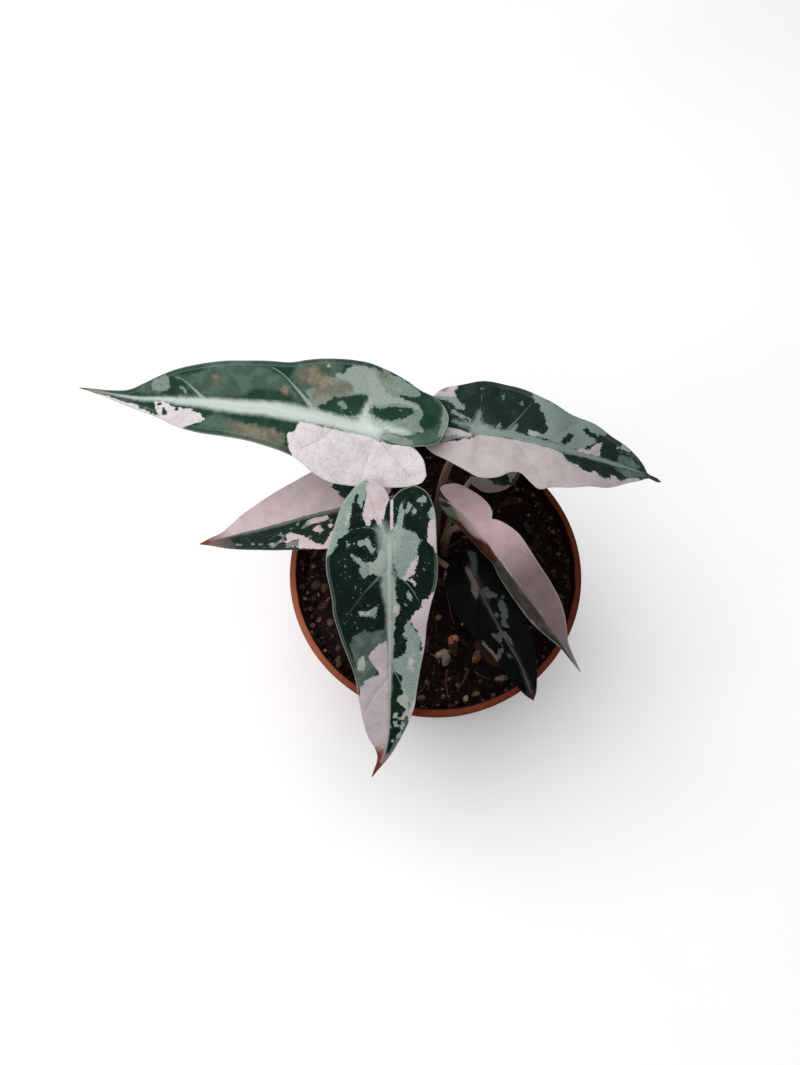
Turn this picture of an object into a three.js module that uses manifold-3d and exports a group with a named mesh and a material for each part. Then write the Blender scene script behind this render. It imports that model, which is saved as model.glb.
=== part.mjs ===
// Potted bambino alocasia: a young arrow-leaved aroid with seven leaves in a round plastic nursery pot.
// Millimetres, +Z up. The pot stands on the plane z = 0 with its axis on the Z axis. The front of the
// plant, where one leaf hangs out over the rim, looks along -Y.
// Heights of the plant (leaf spines, stem points) are measured from the top of the rim.

import * as THREE from 'three';
import { mergeVertices } from 'three/addons/utils/BufferGeometryUtils.js';
import Module from 'manifold-3d';

const wasm = await Module();
wasm.setup();

// Clear gap between pieces that rest on or stand in one another.
const GAP = 0.3;

// The nursery pot: a thin tapering wall, a stepped-out skirt under the rim, drainage holes in the floor.
const POT = {
  height: 105,
  rimRadius: 60,
  lipInnerRadius: 57.2,
  skirtHeight: 10.5,
  skirtFootRadius: 58.8,
  skirtInnerRadius: 57.6,
  baseRadius: 42.5,
  baseEdge: 1.4,
  wall: 1.5,
  floor: 2.2,
  wallTopRadius: 56.4,
  segments: 72,
};
const DRAIN = { count: 8, ringRadius: 31, radius: 3.6, segments: 16 };

// The potting mix: level below the rim, gentle relief, chips of bark and pumice half sunk in it.
const SOIL = { below: 12, rings: 17, sectors: 54, relief: 0.9, mound: 2.2, moundRadius: 17, chips: 64 };
const SOIL_WAVES = [[0.21, 0.13, 0], [-0.11, 0.33, 1.3], [0.27, -0.41, 4]];
const CROWN = [-1.5, 12];
const HOLE = { depth: 13, segments: 16 };

// Leaf blades.
const BLADE = {
  thickness: 0.8,
  ridge: 0.9,
  droop: 0.004,
  waveWidth: 18,
  waveShift: 0.37,
  lobeRows: 4,
  midribRows: 18,
  columns: [0, 0.12, 0.36, 0.62, 0.83, 1],
  spineSteps: 40,
  outlineSteps: 8,
};

// Leaf stalks.
const STALK = { sides: 10, steps: 16, straight: 3.5, topRun: 4 };

const COLOURS = {
  pot: 0xa0522f,
  soil: 0x2a1c17,
  green: 0x2f4a3e,
  pink: 0xc9b3b2,
  dark: 0x1d2b25,
  stalk: 0x9a7468,
  paleStalk: 0xa89a86,
};

// The leaves. A spine runs from behind the stalk through the point where the stalk joins (the second
// point) to the tip: [x, y, height above the rim]. An outline side starts at the end of the basal lobe
// and follows the margin to the tip: [distance along the midrib from the stalk, distance from the
// midrib]. Left and right are seen by someone who walks along the midrib towards the tip. Folds are
// the angles in degrees by which each side is raised from the level across the midrib, given behind
// the stalk, at the stalk, half way and at the tip. The wave is [height, waves, start].
const LEAVES = [
  {
    name: 'left',
    colour: COLOURS.green,
    spine: [
      [-0.7, 17.9, 78], [-23.5, 25.5, 79], [-53, 33, 82], [-87, 43, 70], [-115.5, 51, 56],
      [-140.5, 62, 42],
    ],
    sinus: -14.2,
    left: [
      [-21.8, 8.2], [-20.9, 11], [-16.5, 13.7], [-9.6, 16.1], [-2.9, 18.1], [4.4, 19.7],
      [10.1, 20.3], [16.4, 18.9], [25, 15.2], [40.8, 13.3], [52.7, 12.6], [66.8, 12.2],
      [75.8, 10.8], [84.7, 7.9], [95.7, 5.1], [107.7, 2.8], [119.7, 1],
    ],
    right: [
      [-22.1, 14.2], [-20.7, 16.6], [-15.8, 19.7], [-9.9, 20.9], [-4.1, 23.1], [2.6, 25.3],
      [8.3, 26.2], [14.3, 25.2], [23, 22.1], [29.9, 19.6], [35, 18], [46.2, 17.7], [58.5, 16.2],
      [70.7, 14.1], [81.7, 11.8], [88.4, 9.5], [96.7, 5.8], [103.7, 2.9], [113.7, 1.5],
      [122.7, 0.8],
    ],
    fold: { left: [-12, -14, 0, 15], right: [0, 8, 14, 20] },
    wave: [0.7, 3.5, 0.1],
    stalk: {
      foot: [-4.3, 17.3],
      via: [[-5.5, 18, 20], [-8.5, 18.5, 38], [-14.5, 20, 55]],
      radius: [2.1, 1.35],
      colour: COLOURS.stalk,
    },
  },
  {
    name: 'right',
    colour: COLOURS.green,
    spine: [
      [-3.8, 35.1, 70.3], [12.9, 30.6, 70.3], [41.4, 27.5, 63.2], [73.4, 27.5, 41.9], [88.6, 28, 27.6],
    ],
    sinus: -10.6,
    left: [
      [-19.5, 5.6], [-18.6, 10.2], [-15.8, 14.2], [-11, 16.7], [0.6, 19.9], [8.1, 21.1],
      [13.8, 20.9], [23.4, 17.7], [35.6, 15.2], [46.7, 13.6], [56.9, 10.6], [65, 8.9],
      [72.6, 5.5], [76.4, 3], [78.4, 1.2], [81, 0.7], [86, 0.7],
    ],
    right: [
      [-17.9, 7.7], [-16.7, 9.6], [-12.9, 11.7], [-7.1, 13], [-1.5, 14.6], [3.8, 16.2],
      [9.6, 15.4], [13.8, 12.9], [17.5, 12.5], [21, 14.9], [24.8, 16.8], [29.5, 15.2],
      [37.3, 14], [45.7, 12], [55.4, 10.3], [66.5, 6], [73.2, 3.5], [77.2, 1.7], [80, 0.8],
      [86, 0.7],
    ],
    fold: { left: [0, 5, 10, 15], right: [-4, -2, 4, 12] },
    wave: [1.1, 3.2, 0.35],
    stalk: {
      foot: [0.7, 17.6],
      via: [[1.5, 27, 14], [4, 31.5, 33], [8, 33, 50]],
      radius: [2, 1.3],
      colour: COLOURS.stalk,
    },
  },
  {
    name: 'left_low',
    colour: COLOURS.pink,
    spine: [[-17.5, 16.5, 40], [-27, 14.5, 40], [-45.5, 11, 38], [-71, 7.5, 28], [-94.5, 6, 16]],
    sinus: -5.5,
    left: [
      [-11, 5.5], [-9.4, 8.8], [-6.4, 11.8], [-0.5, 14.4], [9.8, 15.7], [17.4, 15.4], [23.6, 14.1],
      [30.5, 12.4], [37.6, 10.8], [46, 8.6], [56.7, 5.8], [63, 3.6], [68, 1.6],
    ],
    right: [
      [-11, 5.5], [-9.7, 8.6], [-6.2, 12.4], [-1.5, 15.6], [5.4, 17.6], [13.3, 17.8], [20.3, 16.7],
      [27.2, 14.7], [35, 12.5], [43, 10.2], [51.5, 7.3], [57, 4.4], [61.6, 2.3], [68, 1.2],
    ],
    fold: { left: [0, 8, 12, 18], right: [0, 8, 12, 18] },
    wave: [0.6, 2.6, 0.6],
    stalk: {
      foot: [-7.4, 12.8],
      via: [[-10, 16, 14], [-14, 20, 31]],
      radius: [1.7, 1.1],
      colour: COLOURS.stalk,
    },
  },
  {
    name: 'front',
    colour: COLOURS.green,
    spine: [
      [-17.5, 7, 80], [-18.5, -11.5, 73], [-18.5, -27, 59], [-18.5, -46, 36], [-19.5, -70.5, 9],
      [-25.5, -83, -4],
    ],
    sinus: -13.5,
    left: [
      [-19.3, 7.6], [-18.6, 10], [-16.7, 12.7], [-11.1, 15.2], [-4.4, 16.1], [3.4, 16.6],
      [9.1, 17.1], [16.4, 16.7], [24, 14.8], [33, 13.4], [42, 12.9], [51.5, 11.6], [63, 10.2],
      [70, 9.5], [76.6, 7.8], [84.6, 5.1], [91.7, 3], [97.6, 1.6],
    ],
    right: [
      [-20.6, 6.6], [-19.8, 9.8], [-16, 13.5], [-10.7, 16.7], [-5.7, 18.3], [0.5, 19.9],
      [5.3, 21.4], [10.4, 21.6], [17, 20.7], [23.8, 20], [29, 19.9], [37.4, 18.1], [47, 15.3],
      [55.6, 12.9], [65, 11.7], [75.4, 10.1], [86.6, 7.2], [92.4, 3.8], [97, 1.4],
    ],
    fold: { left: [2, 5, 10, 16], right: [2, 5, 10, 16] },
    wave: [0.7, 3, 0.5],
    stalk: {
      foot: [-5.5, 7.5],
      via: [[-8, 4, 18], [-13, -3, 42]],
      radius: [2.1, 1.35],
      colour: COLOURS.stalk,
    },
  },
  {
    name: 'folded',
    colour: COLOURS.pink,
    spine: [[0.8, 19.3, 36], [12, 8, 39], [28, -13, 34], [44, -31, 22], [56, -44, 8]],
    sinus: -9,
    left: [
      [-18, 2], [-18, 3.6], [-17, 4.9], [-14.1, 7.4], [-7.9, 8.5], [-2.1, 8.9], [1.7, 9], [4.3, 8.1],
      [6.4, 8.4], [9.9, 9.6], [15.5, 11.6], [21, 11.5], [29, 10.9], [35.6, 10.6], [43.5, 9.5],
      [49.6, 7.7], [56, 4.8], [60.5, 2.6], [67, 1.2],
    ],
    right: [
      [-16.2, 1.8], [-15.1, 4.8], [-11.9, 7.7], [-6.8, 9.2], [1.9, 9], [12, 7.6], [19, 6],
      [24, 7.6], [35, 8.2], [45, 8.1], [51, 6.6], [56, 4.4], [62, 1.8], [69, 1],
    ],
    fold: { left: [10, 20, 28, 36], right: [-72, -74, -72, -50] },
    wave: [0.4, 3, 0.2],
    stalk: {
      foot: [4.1, 10.6],
      via: [[6, 12.4, 14], [11.6, 11, 25]],
      radius: [1.7, 1],
      colour: COLOURS.stalk,
    },
  },
  {
    name: 'low_dark',
    colour: COLOURS.dark,
    spine: [[8.5, 2.5, 16], [14.5, -9.5, 18], [23.5, -27.5, 16], [32, -41.5, 11], [37.5, -54.5, 5]],
    sinus: -6,
    left: [
      [-12.6, 3.4], [-11, 6.5], [-6.1, 9.6], [1.2, 10.9], [10.3, 11.4], [18.6, 11], [26, 10.1],
      [32.4, 8.5], [40.8, 5.5], [46, 3.6], [49.9, 2],
    ],
    right: [
      [-10.4, 5], [-8, 8.6], [-4, 11], [0, 12.3], [7, 13], [17, 11.2], [22.8, 9.4], [27.4, 8.3],
      [36, 7.2], [45, 4.5], [49.5, 2.6],
    ],
    fold: { left: [5, 8, 12, 20], right: [5, 8, 12, 20] },
    wave: [0.4, 2.4, 0.2],
    stalk: {
      foot: [0.6, 6.4],
      via: [[2.4, 3.4, 0], [8, -2.6, 6]],
      radius: [1.4, 1],
      colour: COLOURS.stalk,
    },
  },
  {
    name: 'rear_small',
    colour: COLOURS.dark,
    spine: [[12, 33, 24], [17.5, 36, 26], [27.5, 44, 25], [40.5, 54, 20], [52.5, 64.5, 12]],
    sinus: -3.5,
    left: [[-6.4, 3.6], [-4.6, 7.4], [0, 10], [8, 11], [16, 9.6], [24, 7.2], [32, 4.4], [40, 2], [44, 0.9]],
    right: [
      [-7, 4.4], [-4.6, 9.4], [0, 13], [5, 13.9], [10, 12.6], [14, 10.8], [20, 9], [28, 6.4],
      [36, 3.4], [43, 1.1],
    ],
    fold: { left: [4, 6, 10, 16], right: [-6, -4, 4, 12] },
    wave: [0.3, 2, 0.2],
    stalk: {
      foot: [3.9, 15.2],
      via: [[6.5, 21, 4], [11, 29, 14]],
      radius: [1.4, 1],
      colour: COLOURS.paleStalk,
    },
  },
];

// A seeded generator, so that every build gives the same part.
function seededRandom(seed) {
  let state = seed;
  return () => {
    state = (state * 48271) % 2147483647;
    return state / 2147483647;
  };
}

function toManifold(geometry) {
  const bare = geometry.clone();
  bare.deleteAttribute('normal');
  bare.deleteAttribute('uv');
  const joined = mergeVertices(bare, 1e-4);
  return new wasm.Manifold(new wasm.Mesh({
    numProp: 3,
    vertProperties: new Float32Array(joined.attributes.position.array),
    triVerts: new Uint32Array(joined.index.array),
  }));
}

function fromManifold(solid) {
  const mesh = solid.getMesh();
  return indexedGeometry(Array.from(mesh.vertProperties), Array.from(mesh.triVerts));
}

function indexedGeometry(positions, index) {
  const geometry = new THREE.BufferGeometry();
  geometry.setAttribute('position', new THREE.Float32BufferAttribute(positions, 3));
  geometry.setIndex(index);
  geometry.computeVertexNormals();
  return geometry;
}

function named(name, geometry, colour, roughness) {
  const material = new THREE.MeshStandardMaterial({ color: colour, roughness, metalness: 0 });
  const mesh = new THREE.Mesh(geometry, material);
  mesh.name = name;
  return mesh;
}

// Value at `position` (0 to 1) between the numbers of a list that stand at `stations`.
function between(stations, values, position) {
  let i = 0;
  while (i < stations.length - 2 && position > stations[i + 1]) i += 1;
  const share = (position - stations[i]) / (stations[i + 1] - stations[i]);
  return THREE.MathUtils.lerp(values[i], values[i + 1], THREE.MathUtils.clamp(share, 0, 1));
}

// Angle in radians by which one side of a leaf is raised at a share of the midrib's length.
function foldAt(leaf, side, share) {
  return THREE.MathUtils.degToRad(between([-0.2, 0, 0.5, 1], leaf.fold[side], share));
}

// A length of curve that can be read at any distance along it.
function measured(points) {
  const lengths = [0];
  for (let i = 1; i < points.length; i += 1) {
    lengths.push(lengths[i - 1] + points[i].distanceTo(points[i - 1]));
  }
  const total = lengths[lengths.length - 1];
  const at = (distance) => {
    let i = 1;
    while (i < points.length - 1 && lengths[i] < distance) i += 1;
    const share = (distance - lengths[i - 1]) / (lengths[i] - lengths[i - 1]);
    return points[i - 1].clone().lerp(points[i], share);
  };
  return { lengths, total, at };
}

// The midrib in space, read by the distance from the stalk. Beyond its ends it runs on straight.
function spineOf(leaf) {
  const corners = leaf.spine.map(([x, y, z]) => new THREE.Vector3(x, y, z + POT.height));
  const curve = new THREE.CatmullRomCurve3(corners, false, 'catmullrom', 0.5);
  const line = measured(curve.getPoints(BLADE.spineSteps * (corners.length - 1)));
  const stalkAt = line.lengths[BLADE.spineSteps];
  const reach = 0.5;
  const frameAt = (along) => {
    const distance = along + stalkAt;
    const inside = THREE.MathUtils.clamp(distance, reach, line.total - reach);
    const tangent = line.at(inside + reach).sub(line.at(inside - reach)).normalize();
    const point = line.at(inside).addScaledVector(tangent, distance - inside);
    const left = new THREE.Vector3(0, 0, 1).cross(tangent).normalize();
    const up = tangent.clone().cross(left);
    return { point, tangent, left, up };
  };
  return { length: line.total - stalkAt, frameAt };
}

// A point of the blade's middle surface from its place on the flat leaf: folded, then waved at the edge.
function bladePoint(leaf, spine, along, across) {
  const { point, left, up } = spine.frameAt(along);
  const share = along / spine.length;
  const side = across < 0 ? 'right' : 'left';
  const fold = foldAt(leaf, side, share);
  const [height, waves, start] = leaf.wave;
  const shift = side === 'left' ? 0 : BLADE.waveShift;
  const edge = (Math.abs(across) / BLADE.waveWidth) ** 2;
  const wave = height * edge * Math.sin(2 * Math.PI * (waves * share + start + shift));
  const droop = -BLADE.droop * across * across;
  point.addScaledVector(left, across * Math.cos(fold));
  return point.addScaledVector(up, Math.abs(across) * Math.sin(fold) + wave + droop);
}

// Smooth flat curve through [along, across] pairs.
function flatCurve(pairs) {
  const corners = pairs.map(([along, across]) => new THREE.Vector3(along, across, 0));
  const curve = new THREE.CatmullRomCurve3(corners, false, 'centripetal');
  return measured(curve.getPoints(BLADE.outlineSteps * (corners.length - 1)));
}

// The flat grid of one leaf: rows slant across each half like the side veins, from the inner edge of
// the lobe and the midrib to the outer margin. Both halves share the vertices on the midrib.
function flatBlade(leaf, length) {
  const flat = [];
  const faces = [];
  const add = (along, across) => flat.push([along, across]) - 1;
  const { lobeRows, midribRows, columns } = BLADE;
  const last = columns.length - 1;
  const midrib = [];
  for (let k = 0; k <= midribRows; k += 1) {
    midrib.push(add(THREE.MathUtils.lerp(leaf.sinus, length, k / midribRows), 0));
  }
  for (const side of ['left', 'right']) {
    const sign = side === 'left' ? 1 : -1;
    const apex = leaf[side][0];
    const hollow = [THREE.MathUtils.lerp(leaf.sinus, apex[0], 0.65), apex[1] * 0.42];
    const inner = flatCurve([apex, hollow, [leaf.sinus, 0.01]]);
    const outer = flatCurve([...leaf[side], [length, 0]]);
    const innerTotal = inner.total + length - leaf.sinus;
    const apexVertex = add(apex[0], sign * apex[1]);
    const grid = [columns.map(() => apexVertex)];
    for (let i = 1; i < lobeRows + midribRows; i += 1) {
      const onLobe = i < lobeRows;
      const share = i / lobeRows;
      const onRib = () => new THREE.Vector3(flat[midrib[i - lobeRows]][0], 0, 0);
      const start = onLobe ? inner.at(inner.total * share) : onRib();
      const travelled = onLobe ? inner.total * share : inner.total + start.x - leaf.sinus;
      const end = outer.at((outer.total * travelled) / innerTotal);
      grid.push(columns.map((column, j) => {
        if (j === 0 && !onLobe) return midrib[i - lobeRows];
        const spot = start.clone().lerp(end, column);
        return add(spot.x, sign * spot.y);
      }));
    }
    grid.push(columns.map(() => midrib[midribRows]));
    for (let i = 0; i < grid.length - 1; i += 1) {
      for (let j = 0; j < last; j += 1) {
        const corners = [grid[i][j], grid[i + 1][j], grid[i + 1][j + 1], grid[i][j + 1]];
        for (const [a, b, c] of [[0, 1, 2], [0, 2, 3]]) {
          const face = [corners[a], corners[b], corners[c]];
          if (new Set(face).size === 3) faces.push(sign > 0 ? face : face.reverse());
        }
      }
    }
  }
  return { flat, faces };
}

// Edges that belong to one face only: the margin of the blade.
function marginOf(faces) {
  const open = new Map();
  for (const face of faces) {
    for (let k = 0; k < 3; k += 1) {
      const [from, to] = [face[k], face[(k + 1) % 3]];
      if (!open.delete(`${to}_${from}`)) open.set(`${from}_${to}`, [from, to]);
    }
  }
  return [...open.values()];
}

// A blade of even thickness with the midrib standing out as a ridge below.
function bladeGeometry(leaf, spine) {
  const { flat, faces } = flatBlade(leaf, spine.length);
  const middle = flat.map(([along, across]) => bladePoint(leaf, spine, along, across));
  const normals = middle.map(() => new THREE.Vector3());
  for (const [a, b, c] of faces) {
    const normal = middle[b].clone().sub(middle[a]).cross(middle[c].clone().sub(middle[a]));
    for (const vertex of [a, b, c]) normals[vertex].add(normal);
  }
  const positions = [];
  middle.forEach((point, i) => {
    positions.push(...point.clone().addScaledVector(normals[i].normalize(), BLADE.thickness / 2).toArray());
  });
  middle.forEach((point, i) => {
    const depth = BLADE.thickness / 2 + ridgeAt(leaf, spine, flat[i]);
    positions.push(...point.clone().addScaledVector(normals[i], -depth).toArray());
  });
  const count = middle.length;
  const index = [];
  for (const [a, b, c] of faces) index.push(a, b, c, count + c, count + b, count + a);
  for (const [from, to] of marginOf(faces)) index.push(to, from, count + from, to, count + from, count + to);
  return indexedGeometry(positions, index);
}

function ridgeAt(leaf, spine, [along, across]) {
  if (across !== 0) return 0;
  if (along < 0) return BLADE.ridge * THREE.MathUtils.clamp(1 - along / leaf.sinus, 0, 1);
  return BLADE.ridge * (1 - along / spine.length) ** 0.7;
}

// A leaf stalk: upright in its hole, then curved, ending square under the blade where the midrib begins.
function stalkGeometry(leaf, spine) {
  const { foot, via, radius } = leaf.stalk;
  const level = POT.height - SOIL.below;
  const floor = level - HOLE.depth + GAP;
  const { point, left, up } = spine.frameAt(0);
  const [leftFold, rightFold] = [foldAt(leaf, 'left', 0), foldAt(leaf, 'right', 0)];
  const square = up.clone().multiplyScalar(Math.cos(leftFold) + Math.cos(rightFold));
  square.addScaledVector(left, Math.sin(rightFold) - Math.sin(leftFold)).normalize();
  const top = point.clone().addScaledVector(square, -(BLADE.thickness / 2 + BLADE.ridge + GAP));
  const raised = level + SOIL.mound + 1;
  const curve = new THREE.CatmullRomCurve3([
    new THREE.Vector3(foot[0], foot[1], raised),
    new THREE.Vector3(foot[0], foot[1], raised + STALK.straight),
    ...via.map(([x, y, z]) => new THREE.Vector3(x, y, z + POT.height)),
    top.clone().addScaledVector(square, -STALK.topRun),
    top,
  ]);
  const frames = curve.computeFrenetFrames(STALK.steps, false);
  const rings = [{ centre: new THREE.Vector3(foot[0], foot[1], floor), frame: 0, radius: radius[0] }];
  for (let k = 0; k <= STALK.steps; k += 1) {
    const share = k / STALK.steps;
    const thickness = THREE.MathUtils.lerp(radius[0], radius[1], share);
    rings.push({ centre: curve.getPointAt(share), frame: k, radius: thickness });
  }
  const positions = [];
  for (const ring of rings) {
    for (let s = 0; s < STALK.sides; s += 1) {
      const turn = (2 * Math.PI * s) / STALK.sides;
      const spoke = frames.normals[ring.frame].clone().multiplyScalar(Math.cos(turn) * ring.radius);
      spoke.addScaledVector(frames.binormals[ring.frame], Math.sin(turn) * ring.radius);
      positions.push(...ring.centre.clone().add(spoke).toArray());
    }
  }
  const bottomCentre = positions.length / 3;
  positions.push(...rings[0].centre.toArray(), ...rings[rings.length - 1].centre.toArray());
  const index = [];
  const lastRing = (rings.length - 1) * STALK.sides;
  for (let s = 0; s < STALK.sides; s += 1) {
    const next = (s + 1) % STALK.sides;
    for (let r = 0; r < lastRing; r += STALK.sides) {
      index.push(r + s, r + next, r + STALK.sides + next, r + s, r + STALK.sides + next, r + STALK.sides + s);
    }
    index.push(bottomCentre, next, s, bottomCentre + 1, lastRing + s, lastRing + next);
  }
  return indexedGeometry(positions, index);
}

function potGeometry() {
  const skirtFoot = POT.height - POT.skirtHeight;
  const innerTop = POT.wallTopRadius - POT.wall;
  const innerBase = POT.baseRadius - POT.wall;
  const profile = [
    [0, 0],
    [POT.baseRadius - POT.baseEdge, 0],
    [POT.baseRadius, POT.baseEdge],
    [POT.wallTopRadius, skirtFoot],
    [POT.skirtFootRadius, skirtFoot],
    [POT.rimRadius, POT.height - 1],
    [POT.rimRadius - 0.6, POT.height],
    [POT.lipInnerRadius + 0.4, POT.height],
    [POT.lipInnerRadius, POT.height - 0.5],
    [POT.skirtInnerRadius - 0.6, skirtFoot + POT.wall],
    [innerTop, skirtFoot + POT.wall / 3],
    [innerBase, POT.floor],
    [0, POT.floor],
  ].map(([r, z]) => new THREE.Vector2(r, z));
  let pot = toManifold(new THREE.LatheGeometry(profile, POT.segments).rotateX(Math.PI / 2));
  for (let k = 0; k < DRAIN.count; k += 1) {
    const turn = (2 * Math.PI * (k + 0.5)) / DRAIN.count;
    const drill = new THREE.CylinderGeometry(DRAIN.radius, DRAIN.radius, 3 * POT.floor, DRAIN.segments);
    const [x, y] = [DRAIN.ringRadius * Math.cos(turn), DRAIN.ringRadius * Math.sin(turn)];
    drill.rotateX(Math.PI / 2).translate(x, y, 0);
    pot = pot.subtract(toManifold(drill));
  }
  return fromManifold(pot);
}

// Height of the soil's surface: slow relief and a low mound round the crown.
function soilHeight(x, y) {
  let relief = 0;
  for (const [alongX, alongY, start] of SOIL_WAVES) relief += Math.sin(alongX * x + alongY * y + start);
  const away = Math.hypot(x - CROWN[0], y - CROWN[1]) / SOIL.moundRadius;
  return POT.height - SOIL.below + (SOIL.relief * relief) / 2 + SOIL.mound * Math.exp(-away * away);
}

// Radius of the pot's inner wall at a height, less the gap.
function soilRadius(z) {
  const share = (z - POT.floor) / (POT.height - POT.skirtHeight - POT.floor);
  return THREE.MathUtils.lerp(POT.baseRadius, POT.wallTopRadius, share) - POT.wall - 2 * GAP;
}

function soilGeometry() {
  const random = seededRandom(41);
  const bottom = POT.floor + GAP;
  const edge = soilRadius(POT.height - SOIL.below);
  const positions = [0, 0, soilHeight(0, 0)];
  const index = [];
  const ringStart = (ring) => 1 + (ring - 1) * SOIL.sectors;
  for (let ring = 1; ring <= SOIL.rings; ring += 1) {
    for (let s = 0; s < SOIL.sectors; s += 1) {
      const onEdge = ring === SOIL.rings;
      const jitter = onEdge ? 0 : random() - 0.5;
      const r = (edge * (ring + 0.5 * jitter)) / SOIL.rings;
      const turn = (2 * Math.PI * (s + (onEdge ? 0 : random() * 0.6))) / SOIL.sectors;
      const [x, y] = [r * Math.cos(turn), r * Math.sin(turn)];
      const z = onEdge ? POT.height - SOIL.below - 0.6 : soilHeight(x, y) + 0.9 * (random() - 0.5);
      positions.push(x, y, z);
    }
  }
  const foot = positions.length / 3;
  for (let s = 0; s < SOIL.sectors; s += 1) {
    const turn = (2 * Math.PI * s) / SOIL.sectors;
    positions.push(soilRadius(bottom) * Math.cos(turn), soilRadius(bottom) * Math.sin(turn), bottom);
  }
  const centre = positions.length / 3;
  positions.push(0, 0, bottom);
  for (let s = 0; s < SOIL.sectors; s += 1) {
    const next = (s + 1) % SOIL.sectors;
    index.push(0, ringStart(1) + s, ringStart(1) + next);
    for (let ring = 1; ring < SOIL.rings; ring += 1) {
      const [inner, outer] = [ringStart(ring), ringStart(ring + 1)];
      index.push(inner + s, outer + s, outer + next, inner + s, outer + next, inner + next);
    }
    const rim = ringStart(SOIL.rings);
    index.push(rim + s, foot + s, foot + next, rim + s, foot + next, rim + next);
    index.push(centre, foot + next, foot + s);
  }
  let soil = toManifold(indexedGeometry(positions, index));
  for (const chip of chips(random, edge)) soil = soil.add(toManifold(chip));
  for (const leaf of LEAVES) soil = soil.subtract(toManifold(holeFor(leaf)));
  return fromManifold(soil.decompose().sort((a, b) => b.volume() - a.volume())[0]);
}

// Bark and pumice bits: squashed, turned, half sunk, and clear of the stalks.
function chips(random, edge) {
  const list = [];
  while (list.length < SOIL.chips) {
    const r = (edge - 5) * Math.sqrt(random());
    const turn = 2 * Math.PI * random();
    const [x, y] = [r * Math.cos(turn), r * Math.sin(turn)];
    const size = 1.3 + 2.2 * random() ** 2;
    const stretch = 1 + 0.9 * random();
    const chip = new THREE.IcosahedronGeometry(size, 0).scale(stretch, 0.8, 0.55);
    chip.rotateX(0.5 * (random() - 0.5)).rotateZ(2 * Math.PI * random());
    chip.translate(x, y, soilHeight(x, y) + 0.05 * size);
    if (Math.hypot(x - CROWN[0], y - CROWN[1]) > 13) list.push(chip);
  }
  return list;
}

function holeFor(leaf) {
  const [x, y] = leaf.stalk.foot;
  const radius = leaf.stalk.radius[0] + GAP;
  const height = 2 * HOLE.depth;
  const hole = new THREE.CylinderGeometry(radius, radius, height, HOLE.segments).rotateX(Math.PI / 2);
  return hole.translate(x, y, POT.height - SOIL.below - HOLE.depth + height / 2);
}

const plant = new THREE.Group();
plant.name = 'potted_bambino_alocasia';
plant.add(named('pot', potGeometry(), COLOURS.pot, 0.6));
plant.add(named('soil', soilGeometry(), COLOURS.soil, 0.95));
for (const leaf of LEAVES) {
  const spine = spineOf(leaf);
  plant.add(named(`stalk_${leaf.name}`, stalkGeometry(leaf, spine), leaf.stalk.colour, 0.5));
  plant.add(named(`blade_${leaf.name}`, bladeGeometry(leaf, spine), leaf.colour, 0.45));
}

export default plant;
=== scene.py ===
# %% [markdown]
# # A potted bambino alocasia
# This lesson dresses a small arrow-leaved house plant: seven variegated leaves on fleshy stalks, in a
# terracotta-coloured nursery pot full of dark potting mix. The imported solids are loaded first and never
# moved. Each one is then replaced by a finer piece of the same form, because leaves, crumbs and fibres
# need many more faces than a solid for collision can have.

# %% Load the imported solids
import math

import bmesh
import bpy
import numpy as np
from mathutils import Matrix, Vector, noise


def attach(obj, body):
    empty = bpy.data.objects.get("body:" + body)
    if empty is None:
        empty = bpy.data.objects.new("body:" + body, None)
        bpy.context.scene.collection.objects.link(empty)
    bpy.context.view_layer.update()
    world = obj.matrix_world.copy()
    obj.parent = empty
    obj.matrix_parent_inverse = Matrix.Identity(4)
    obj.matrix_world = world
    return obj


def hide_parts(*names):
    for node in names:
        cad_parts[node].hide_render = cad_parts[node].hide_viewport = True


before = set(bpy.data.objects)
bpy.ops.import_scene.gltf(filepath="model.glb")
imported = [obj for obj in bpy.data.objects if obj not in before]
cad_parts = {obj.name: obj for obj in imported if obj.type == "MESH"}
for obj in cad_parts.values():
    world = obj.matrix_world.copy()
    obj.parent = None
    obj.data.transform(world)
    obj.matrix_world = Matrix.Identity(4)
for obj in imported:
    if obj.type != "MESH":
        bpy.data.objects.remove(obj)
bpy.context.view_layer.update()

# %% [markdown]
# ## A small language for finishes
# A finish is a tree of shader nodes. Sums on masks read best as sums, so one class wraps a socket and
# turns `1 - mask` into a Math node. Colours go through Mix nodes and positions through Vector Math,
# because a Math node would make them grey. Everything else comes from one method, `node`.

# %% Wires
class Wire:
    """One value, colour or position inside a finish."""

    def __init__(self, finish, socket):
        self.finish = finish
        self.socket = socket

    def sum(self, operation, *values):
        return self.finish.node("Math", {"operation": operation}, dict(enumerate(values)))

    def __add__(self, other):
        return self.sum("ADD", self, other)

    def __sub__(self, other):
        return self.sum("SUBTRACT", self, other)

    def __rsub__(self, other):
        return self.sum("SUBTRACT", other, self)

    def __mul__(self, other):
        return self.sum("MULTIPLY", self, other)

    def __abs__(self):
        return self.sum("ABSOLUTE", self)

    __radd__ = __add__
    __rmul__ = __mul__

    def most(self, other):
        return self.sum("MAXIMUM", self, other)

    def whole(self):
        return self.sum("ROUND", self)

    def ease(self, low, high):
        """0 below low, 1 above high and smooth between them; low may be the larger one."""
        span = {"From Min": min(low, high), "From Max": max(low, high),
                "To Min": float(low > high), "To Max": float(low < high)}
        return self.finish.node("MapRange", {"interpolation_type": "SMOOTHSTEP"}, {"Value": self, **span})


# %% [markdown]
# A finish collects the nodes of one material. A node's settings are made before its sockets are filled,
# because its mode decides which sockets it has. The nodes that are needed often have short names.

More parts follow.
